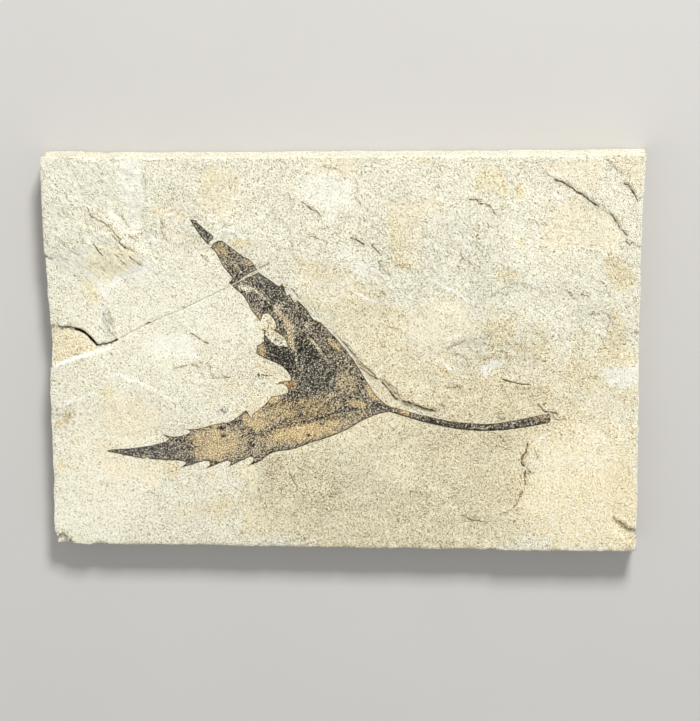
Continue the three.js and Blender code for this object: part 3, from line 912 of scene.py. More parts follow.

# fine dark scars, painted with dirt and shade at the foot of their steps: how dark, half width, and their
# line
shadedScars = [
    (0.5, 0.22, [(-103.7, 76.5), (-102.2, 74.6), (-100.3, 73.0)]),
    (0.6, 0.22, [(-93.7, 77.7), (-92.6, 73.4), (-91.6, 70.3), (-90.5, 68.8)]),
    (0.8, 0.29, [
        (-98.4, 61.0), (-97.4, 57.9), (-96.0, 54.7), (-94.1, 53.6), (-91.4, 52.4), (-88.4, 49.7),
        (-86.2, 46.9), (-83.9, 45.0),
    ]),
    (0.45, 0.22, [(-103.1, 60.6), (-100.5, 58.6), (-98.6, 56.3), (-96.7, 54.3)]),
    (0.6, 0.22, [(-87.7, 58.7), (-85.5, 56.3), (-83.7, 53.6), (-81.4, 50.1)]),
    (0.7, 0.25, [(-75.8, 71.9), (-75.1, 68.8), (-74.4, 66.1)]),
    (0.5, 0.22, [(-75.6, 64.1), (-74.2, 61.4)]),
    (0.5, 0.22, [(-77.3, 58.3), (-74.6, 59.1)]),
    (0.9, 0.29, [(-89.2, 48.5), (-87.0, 46.1), (-85.1, 44.2), (-82.9, 41.8)]),
    (0.8, 0.25, [(-85.5, 43.8), (-81.7, 41.8), (-79.0, 41.1)]),
    (0.7, 0.29, [(-82.3, 48.1), (-80.4, 46.2), (-78.5, 45.4)]),
    (0.9, 0.29, [(-97.0, 46.1), (-95.2, 43.4), (-93.3, 40.6), (-91.5, 38.7)]),
    (0.6, 0.25, [(-104.8, 43.7), (-103.0, 41.8), (-100.3, 40.6)]),
    (0.7, 0.25, [(-105.7, 41.8), (-101.1, 39.4), (-99.6, 37.9)]),
    (0.8, 0.25, [(-90.3, 39.1), (-88.3, 40.1), (-86.4, 39.1), (-84.9, 37.1), (-82.7, 35.5)]),
    (0.8, 0.29, [(-83.3, 41.4), (-81.4, 38.7), (-79.1, 36.7), (-76.1, 34.8)]),
    (0.6, 0.25, [(-93.5, 36.3), (-92.8, 34.3), (-91.3, 33.1)]),
    (0.6, 0.22, [(-108.2, 36.3), (-106.7, 34.7), (-105.2, 33.5)]),
    (0.6, 0.25, [(-114.4, 47.6), (-113.3, 44.9), (-113.9, 41.4)]),
    (0.4, 0.22, [(-112.1, 47.7), (-108.7, 45.7), (-106.4, 42.6)]),
    (0.4, 0.22, [(-102.1, 55.1), (-99.5, 52.4), (-96.9, 51.2)]),
    (0.4, 0.22, [(-109.9, 52.8), (-106.9, 50.8), (-103.9, 47.3)]),
    (0.8, 0.22, [(-69.8, 53.6), (-68.7, 52.5), (-69.1, 49.3), (-67.7, 46.2), (-66.9, 44.2)]),
    (0.35, 0.22, [(-81.5, 48.9), (-75.7, 48.9), (-70.7, 48.1)]),
    (0.45, 0.18, [(-69.3, 44.2), (-62.3, 44.2), (-56.5, 44.3)]),
    (0.4, 0.22, [(-73.9, 43.8), (-72.4, 41.5), (-71.7, 39.9)]),
    (0.8, 0.32, [(-103.7, 31.9), (-103.0, 30.7)]),
    (0.9, 0.29, [(-54.3, 40.0), (-53.2, 38.4), (-51.7, 37.2)]),
    (0.35, 0.18, [(-54.3, 40.0), (-52.8, 40.7), (-51.2, 40.7)]),
    (0.3, 0.18, [(-108.0, 22.4), (-106.5, 20.4), (-105.0, 18.8)]),
    (0.6, 0.22, [(-23.3, 76.9), (-21.8, 75.4), (-20.3, 73.9)]),
    (0.5, 0.22, [(-36.0, 72.7), (-34.5, 70.0), (-32.3, 68.1)]),
    (0.5, 0.22, [(-31.5, 66.1), (-28.9, 64.2), (-27.4, 60.7), (-25.9, 58.0)]),
    (0.6, 0.22, [(-20.1, 64.2), (-19.4, 61.5), (-18.3, 59.2)]),
    (0.95, 0.25, [(-15.9, 61.1), (-14.0, 59.6), (-11.4, 57.6), (-9.1, 56.5), (-8.0, 54.5)]),
    (0.6, 0.22, [(-26.3, 55.7), (-24.4, 54.5), (-22.2, 52.6), (-20.3, 49.8), (-20.0, 46.3)]),
    (0.7, 0.22, [(-20.0, 45.9), (-19.2, 43.6), (-19.3, 41.6)]),
    (0.6, 0.22, [(-18.9, 41.6), (-18.2, 38.5), (-16.3, 36.5), (-14.0, 35.4)]),
    (0.7, 0.25, [(-13.8, 46.3), (-11.9, 47.1), (-9.6, 46.3), (-8.5, 45.6)]),
    (0.7, 0.25, [(-8.1, 46.3), (-6.6, 45.2), (-5.0, 44.4)]),
    (0.7, 0.22, [(-9.2, 51.0), (-7.3, 49.9), (-4.2, 51.0)]),
    (1, 0.32, [(2.7, 46.8), (4.9, 46.0), (6.9, 45.2), (9.1, 43.7)]),
    (0.9, 0.25, [(10.7, 44.4), (12.6, 42.5), (14.9, 39.8)]),
    (0.8, 0.25, [(4.7, 62.3), (6.6, 61.5), (7.3, 59.2)]),
    (0.6, 0.29, [(-8.9, 74.3), (-6.2, 74.3), (-3.2, 73.5), (0.6, 73.3)]),
    (0.5, 0.18, [(12.8, 77.7), (14.3, 76.2)]),
    (0.5, 0.18, [(23.0, 72.0), (24.9, 69.7), (26.4, 67.8)]),
    (0.7, 0.25, [(13.7, 38.6), (14.8, 35.4), (17.1, 33.1), (19.8, 31.5)]),
    (0.8, 0.29, [(14.4, 26.0), (17.1, 23.7)]),
    (0.5, 0.25, [(-8.6, 36.9), (-6.7, 35.0), (-4.8, 33.0)]),
    (0.8, 0.25, [(-20.2, 27.1), (-18.0, 24.7), (-16.1, 22.3)]),
    (0.4, 0.22, [(-1.5, 48.7), (0.4, 46.4), (-2.3, 46.0)]),
    (0.4, 0.22, [(3.7, 38.6), (6.8, 38.2)]),
    (0.5, 0.18, [(29.1, 62.0), (30.6, 62.4), (32.9, 60.8)]),
    (0.6, 0.43, [(20.6, 37.0), (22.9, 35.5), (25.2, 34.7), (27.5, 33.9)]),
    (0.4, 0.22, [(12.4, 17.3), (14.0, 14.9), (13.9, 11.8), (15.1, 9.8)]),
    (0.7, 0.22, [(15.5, 19.3), (15.9, 16.5)]),
    (0.7, 0.22, [(16.6, 11.4), (19.0, 11.4), (22.0, 9.8)]),
    (0.6, 0.22, [(20.1, 3.8), (21.6, 1.5)]),
    (0.5, 0.22, [(22.8, 24.5), (24.0, 21.3)]),
    (0.4, 0.18, [(48.7, 78.2), (49.9, 75.9), (49.1, 74.3)]),
    (0.9, 0.29, [
        (47.3, 62.4), (48.8, 61.6), (51.1, 61.6), (52.6, 60.1), (55.3, 59.7), (57.2, 58.1),
        (59.1, 55.1),
    ]),
    (0.6, 0.22, [(51.9, 52.7), (51.9, 48.8), (51.1, 47.3), (52.3, 44.5)]),
    (0.6, 0.18, [(50.7, 60.1), (51.9, 57.4)]),
    (0.8, 0.25, [(45.1, 41.8), (45.8, 39.1), (48.1, 37.1), (50.0, 35.9), (51.6, 34.0)]),
    (0.5, 0.25, [(47.0, 29.7), (47.4, 26.1), (48.9, 24.6)]),
    (0.6, 0.29, [(40.1, 42.6), (41.2, 39.8), (39.0, 39.4)]),
    (1, 0.43, [
        (79.0, 70.1), (80.9, 69.4), (84.0, 68.2), (86.6, 66.7), (89.7, 64.4), (92.7, 62.5),
        (95.8, 60.2), (98.8, 58.6),
    ]),
    (0.9, 0.32, [
        (99.6, 56.7), (102.3, 56.3), (104.2, 53.2), (105.8, 50.5), (107.7, 48.6), (109.2, 47.0),
    ]),
    (0.9, 0.29, [(107.7, 45.9), (110.0, 43.9)]),
    (0.6, 0.40, [(100.0, 77.8), (101.5, 75.5), (103.8, 73.6), (106.1, 71.3)]),
    (1, 0.36, [(105.8, 67.9), (108.1, 67.5), (110.0, 65.2), (111.6, 62.5), (112.4, 60.6)]),
    (0.55, 0.32, [
        (55.8, 23.8), (59.3, 25.8), (62.7, 27.4), (66.1, 28.9), (68.8, 29.0), (71.9, 27.8),
        (74.6, 25.8),
    ]),
    (0.5, 0.22, [(79.5, 30.2), (81.8, 27.8), (83.3, 26.3)]),
    (0.8, 0.25, [(85.2, 27.0), (87.2, 24.7), (89.5, 22.3)]),
    (0.6, 0.22, [(97.8, 30.2), (100.1, 28.7), (101.6, 25.5), (102.4, 23.2)]),
    (0.5, 0.22, [(85.1, 37.2), (85.9, 35.3)]),
    (0.5, 0.22, [(87.8, 33.3), (90.9, 31.8), (92.8, 30.2)]),
    (0.5, 0.18, [(105.9, 42.0), (109.7, 42.8), (112.7, 42.8)]),
    (0.35, 0.18, [(75.6, 73.6), (78.3, 70.9)]),
    (1, 0.36, [(91.0, 24.7), (92.9, 24.3), (94.8, 23.9)]),
    (0.4, 0.18, [(67.7, 27.0), (70.7, 25.0)]),
    (0.9, 0.2, [(-32.5, 34.6), (-30, 35.7), (-27.4, 37)]),
    (0.9, 0.3, [(-76.6, 12), (-74.4, 13.2)]),
    (0.8, 0.26, [(-62.3, 18.9), (-60.4, 19.9)]),
    (0.45, 0.18, [(27.2, 68.1), (35.9, 72.8), (45.0, 77.8)]),
    (0.9, 0.25, [(-59.7, 9.1), (-57.0, 7.5), (-54.3, 5.5), (-51.6, 3.9)]),
    (0.4, 0.22, [(-51.6, 3.9), (-49.7, 1.9)]),
    (0.35, 0.18, [(-62.6, 17.0), (-61.1, 14.6), (-58.5, 11.4), (-56.2, 9.5)]),
    (0.7, 0.25, [
        (-67.4, -4.6), (-65.5, -5.4), (-63.6, -5.0), (-59.6, -4.2), (-56.9, -4.6), (-54.6, -6.1),
    ]),
    (0.8, 0.25, [(-53.4, -2.5), (-51.8, -4.5), (-51.9, -6.5), (-50.8, -8.9), (-49.6, -10.1)]),
    (0.5, 0.18, [(-51.8, -2.9), (-49.9, -4.9), (-47.6, -6.1)]),
    (0.7, 0.25, [(-50.4, -9.3), (-48.4, -9.3), (-47.2, -7.7)]),
    (0.8, 0.29, [(-48.0, -7.3), (-46.1, -8.9), (-43.7, -9.3)]),
    (0.45, 0.25, [(-56.7, -11.4), (-53.6, -12.2), (-48.9, -12.6), (-45.0, -12.5), (-43.4, -13.3)]),
    (0.35, 0.18, [(-56.0, -14.6), (-57.6, -17.0)]),
    (0.45, 0.18, [(-86.3, 4.5), (-83.6, 2.9), (-80.1, 2.2), (-77.4, 2.2)]),
    (0.4, 0.22, [(-95.3, -6.8), (-94.6, -10.4)]),
    (0.35, 0.18, [(-94.8, -28.2), (-91.7, -30.7)]),
    (0.6, 0.18, [(-41.1, 6.7), (-39.6, 4.8), (-38.0, 4.0)]),
    (0.6, 0.22, [(-113.3, -6.5), (-110.5, -4.8), (-109.3, -4.0)]),
    (0.5, 0.22, [(-99.8, 0.5), (-96.6, 1.7)]),
    (0.6, 0.18, [(-88.2, 6.5), (-90.5, 9.3), (-92.7, 12.9), (-93.8, 14.5)]),
    (0.62, 0.2, [(-88.6, 6.9), (-90.8, 11.3), (-93.0, 16.9), (-92.5, 18.5)]),
    (0.55, 0.18, [(-88.9, 9.7), (-90.3, 15.3), (-91.4, 18.1)]),
    (0.6, 0.16, [(-89.3, 7.7), (-91.6, 10.1), (-94.3, 12.5)]),
    (0.6, 0.18, [(-89.4, 6.1), (-92.8, 9.3), (-95.5, 11.3)]),
    (0.6, 0.18, [(-90.1, 8.5), (-91.9, 12.9), (-93.3, 17.7)]),
    (0.5, 0.18, [(-90.9, 6.5), (-93.3, 7.3), (-95.2, 9.3)]),
    (0.8, 0.22, [(40.1, 2.3), (42.1, 3.9), (45.2, 5.1), (47.8, 6.8)]),
    (0.6, 0.22, [(47.8, 6.0), (48.6, 3.6), (50.2, 2.0), (52.1, 0.8)]),
    (0.4, 0.18, [(37.4, -0.5), (40.1, 1.9)]),
    (0.7, 0.25, [(42.5, -0.0), (43.6, 0.8), (46.3, -0.0), (47.9, -2.4), (48.3, -5.6), (46.7, -6.4)]),
    (0.5, 0.22, [(43.6, -1.6), (44.4, -4.0), (45.9, -5.6)]),
    (0.9, 0.25, [(60.2, 1.6), (62.5, 1.7), (63.3, 0.1), (62.9, -1.5)]),
    (0.6, 0.25, [(55.6, -0.4), (58.6, 0.4), (61.4, -1.1)]),
    (0.8, 0.22, [(39.4, -12.9), (43.3, -12.4), (46.0, -12.8)]),
    (0.5, 0.22, [(33.6, -16.9), (37.5, -16.1), (39.0, -15.3)]),
    (0.8, 0.29, [(36.7, -19.3), (39.0, -20.1), (40.2, -19.7)]),
    (1, 0.32, [
        (74.6, -18.3), (76.2, -19.9), (77.7, -21.9), (80.1, -22.3), (82.4, -22.7), (83.9, -23.9),
    ]),
    (0.7, 0.25, [(80.8, -22.7), (82.4, -25.1), (85.1, -25.5)]),
    (0.8, 0.29, [(59.6, -24.4), (61.1, -25.2), (62.7, -25.6)]),
    (0.6, 0.22, [(71.1, -14.7), (72.3, -15.9)]),
    (0.8, 0.25, [(93.8, 16.9), (96.8, 16.9), (99.1, 17.3)]),
    (0.7, 0.25, [(100.2, 18.1), (102.2, 16.1), (102.6, 13.7), (101.1, 10.6)]),
    (0.7, 0.22, [(98.5, 9.4), (99.3, 7.0), (100.5, 5.0)]),
    (0.8, 0.22, [(74.4, -1.1), (76.4, -1.1), (78.7, -2.3)]),
    (0.5, 0.22, [(61.4, -4.3), (63.7, -6.3), (66.8, -7.1)]),
    (0.6, 0.22, [(60.6, -10.7), (61.8, -13.5), (63.4, -13.9)]),
    (0.4, 0.18, [(88.2, -25.4), (88.6, -27.5)]),
    (0.5, 0.18, [(111.6, 22.4), (112.4, 20.1), (112.5, 17.7)]),
    (0.7, 0.32, [(50.9, 8.8), (51.7, 8.6)]),
    (0.5, 0.3, [(-31.3, 9.8), (-30.2, 10), (-29, 9.6)]),
    (0.5, 0.2, [(-29.5, 8.4), (-26.6, 7.4), (-24.4, 5.2)]),
    (0.45, 0.18, [(-27.4, 8.6), (-25.2, 8.2), (-23.4, 6.2)]),
    (0.6, 0.32, [(75.8, 17.6), (76.9, 16.4), (78.1, 16.0)]),
    (0.9, 0.25, [(4.6, -3.0), (7.3, -5.4), (10.7, -7.8), (14.2, -9.8)]),
    (1, 0.43, [(14.2, -9.8), (17.3, -13.4), (19.6, -16.2), (21.9, -18.2)]),
    (0.8, 0.22, [(15.8, -9.0), (17.3, -11.0), (20.0, -12.6), (21.6, -15.8), (21.9, -17.8)]),
    (1, 0.47, [(21.9, -17.8), (25.8, -18.6), (29.7, -20.2), (33.6, -21.4), (36.7, -22.1)]),
    (0.5, 0.22, [(15.0, -1.8), (16.6, -5.8), (18.1, -8.6)]),
    (0.6, 0.22, [(-78.7, -55.6), (-75.9, -56.4), (-74.0, -57.6)]),
    (0.9, 0.29, [(-113.9, -74.1), (-112.3, -74.1), (-109.9, -75.4), (-108.0, -77.4)]),
    (0.9, 0.22, [(-22.1, -46.5), (-20.5, -49.8), (-19.0, -53.1), (-18.3, -55.5)]),
    (0.4, 0.18, [(-0.8, -34.1), (1.6, -37.4), (4.3, -38.2)]),
    (0.5, 0.18, [(8.6, -33.3), (10.5, -37.3), (11.7, -40.6)]),
    (0.6, 0.22, [(-21.1, -63.8), (-18.8, -66.3)]),
    (0.5, 0.22, [(-22.0, -67.1), (-20.0, -69.6)]),
    (0.7, 0.22, [(-16.5, -73.3), (-15.4, -76.2)]),
    (0.5, 0.22, [(-9.0, -74.0), (-7.9, -75.7)]),
    (0.7, 0.25, [(30.8, -61.7), (32.4, -63.8)]),
    (1, 0.36, [
        (71.7, -33.6), (71.3, -36.5), (70.9, -38.5), (69.4, -40.6), (69.4, -43.0), (71.0, -45.0),
    ]),
    (0.9, 0.22, [(71.0, -45.0), (72.2, -46.2), (73.3, -47.4)]),
    (0.9, 0.32, [(71.0, -45.0), (70.6, -48.3), (70.7, -52.4)]),
    (0.8, 0.29, [
        (70.3, -53.2), (69.1, -55.7), (68.0, -58.5), (66.4, -61.0), (64.1, -62.7), (61.0, -63.9),
    ]),
    (0.7, 0.22, [(74.0, -36.5), (75.2, -39.7), (74.8, -41.3)]),
    (0.7, 0.22, [(62.8, -36.9), (65.5, -38.1)]),
    (0.8, 0.29, [(44.9, -63.7), (47.7, -65.3), (50.4, -66.5), (53.2, -66.9), (57.1, -68.5)]),
    (0.6, 0.22, [(57.9, -68.9), (59.5, -71.4)]),
    (0.6, 0.22, [(62.0, -45.1), (62.8, -49.2)]),
    (0.6, 0.25, [(65.4, -74.2), (68.5, -77.5)]),
    (0.6, 0.25, [(77.2, -77.4), (80.3, -76.1)]),
    (0.9, 0.29, [(106.7, -65.6), (108.7, -67.2), (111.8, -69.7), (113.4, -69.7)]),
    (0.5, 0.22, [(86.3, -25.5), (86.7, -28.7), (88.7, -30.3)]),
    (0.9, 0.27, [(-1.5, 7.6), (3.0, 2.1), (6.9, -2.5), (10.7, -6.1), (13.7, -9)]),
]

# bruises that a knock or a scrape has left nearly white, and painted highlights on the steps they mark
litBruisedScars = [
    (1, 0.68, [
        (-89.9, 25.6), (-88.7, 27.2), (-86.7, 29.2), (-83.2, 31.2), (-79.3, 32.4), (-74.2, 34.4),
    ]),
    (0.5, 1.7, [
        (-93.6, 14), (-93.2, 18), (-92.2, 23), (-88.7, 28.2), (-82.7, 32.8), (-76.1, 35.4),
        (-69.5, 36.8),
    ]),
    (0.7, 0.58, [(-100.2, 32.3), (-96.8, 31.2), (-93.7, 28.4)]),
    (0.7, 0.29, [(-80.7, 48.5), (-75.7, 49.3)]),
    (0.7, 0.32, [(-84.3, 58.7), (-79.7, 58.3)]),
    (0.95, 0.36, [(-68.6, 54.4), (-66.7, 55.6), (-64.0, 55.8)]),
    (0.9, 0.72, [(-74.2, 45.8), (-70.0, 45.6)]),
    (0.8, 0.29, [(-53.8, 77.3), (-53.2, 73.4)]),
    (0.7, 0.25, [(-47.4, 75.0), (-45.2, 72.7), (-43.6, 71.9)]),
    (0.95, 0.36, [
        (-49.6, 45.1), (-47.6, 48.6), (-45.3, 49.8), (-41.4, 49.0), (-38.4, 46.7), (-36.5, 44.3),
    ]),
    (0.6, 0.29, [(-47.7, 45.5), (-46.4, 48.6)]),
    (0.6, 0.25, [(-43.4, 64.2), (-40.4, 61.1)]),
    (0.7, 0.29, [(-33.0, 47.5), (-30.7, 45.5)]),
    (0.9, 0.32, [(2.9, 27.9), (1.4, 31.5)]),
    (0.9, 0.29, [(3.6, 26.8), (2.9, 27.9)]),
    (0.9, 0.32, [(-0.2, 25.6), (2.5, 23.2)]),
    (0.95, 0.40, [(3.6, 25.2), (6.7, 24.6), (9.0, 22.8), (12.5, 21.7), (14.8, 20.9)]),
    (0.95, 0.40, [(34.7, 30.4), (37.4, 28.5), (40.1, 27.3), (43.6, 25.7), (46.3, 23.8), (48.2, 21.0)]),
    (0.7, 0.32, [(15.6, 27.6), (20.6, 27.2)]),
    (0.6, 0.29, [(16.3, 30.0), (18.3, 31.1)]),
    (0.95, 0.47, [(43.5, 47.6), (46.2, 44.9), (49.3, 41.8)]),
    (0.7, 0.29, [(45.8, 55.8), (47.3, 53.1)]),
    (0.8, 0.36, [(73.5, 53.1), (74.3, 49.3), (75.9, 45.4)]),
    (0.7, 0.43, [(79.5, 65.1), (82.1, 62.8), (82.9, 59.4)]),
    (0.7, 0.43, [(64.5, 41.9), (64.9, 37.6), (67.6, 34.8)]),
    (0.7, 0.32, [(77.9, 30.2), (81.8, 27.0)]),
    (0.7, 0.29, [(73.0, 31.3), (74.5, 27.4)]),
    (0.6, 0.29, [(109.2, 27.5), (110.8, 24.8)]),
    (1, 0.29, [
        (-90.7, -9.6), (-89.5, -8.3), (-87.1, -7.9), (-84.8, -9.5), (-81.7, -10.7), (-77.4, -11.9),
        (-73.6, -13.9),
    ]),
    (0.45, 0.58, [(-73.6, -13.9), (-69.7, -16.7), (-66.3, -19.5)]),
    (1, 0.65, [
        (-113.8, -7.7), (-111.3, -4.8), (-108.1, -3.2), (-104.5, -1.8), (-100.6, -0.6), (-95.8, 0.9),
        (-91.9, 2.1), (-89.1, 3.7),
    ]),
    (0.6, 0.72, [(-114.3, -21.8), (-111.1, -19.4), (-105.1, -18.5), (-101.1, -16.9), (-96.3, -14.8)]),
    (0.35, 0.43, [(-110.6, -28.7), (-105.4, -26.7), (-101.4, -25.0)]),
    (0.7, 0.22, [(-57.9, 1.1), (-56.8, -0.9), (-55.7, -2.9)]),
    (0.9, 0.40, [(37.4, -0.9), (40.2, -4.0), (42.5, -6.0)]),
    (0.9, 0.32, [(64.4, 2.9), (66.0, 1.3), (66.7, -0.3)]),
    (0.6, 0.25, [(-5.5, -40.3), (-2.4, -40.7), (0.3, -41.0), (2.7, -42.3)]),
    (0.9, 0.29, [(-25.9, -38.8), (-21.2, -38.7)]),
    (0.75, 0.26, [(-16.5, 20.8), (-14.2, 18.0), (-11.9, 15.2), (-7.3, 13.7)]),
    (0.75, 0.24, [(-6.5, 12.9), (-4.2, 8.9), (0.7, 4.1), (4.6, -1.8)]),
    (0.75, 0.26, [(7.6, -7.0), (10.3, -11.4), (13.4, -15.4), (16.5, -18.2)]),
    (0.7, 0.25, [(23.5, -20.6), (29.7, -23.0), (35.9, -24.6)]),
    (0.7, 0.40, [(74.4, -33.2), (76.7, -32.4), (79.8, -29.9)]),
    (0.5, 0.32, [(81.2, -24.7), (84.0, -26.7)]),
    (0.6, 0.32, [(112.2, 28.3), (112.3, 24.0)]),
    (0.6, 0.43, [(112.0, -39.4), (113.0, -47.6)]),
    (0.4, 0.29, [(-38.8, 63.8), (-38.1, 60.3)]),
]

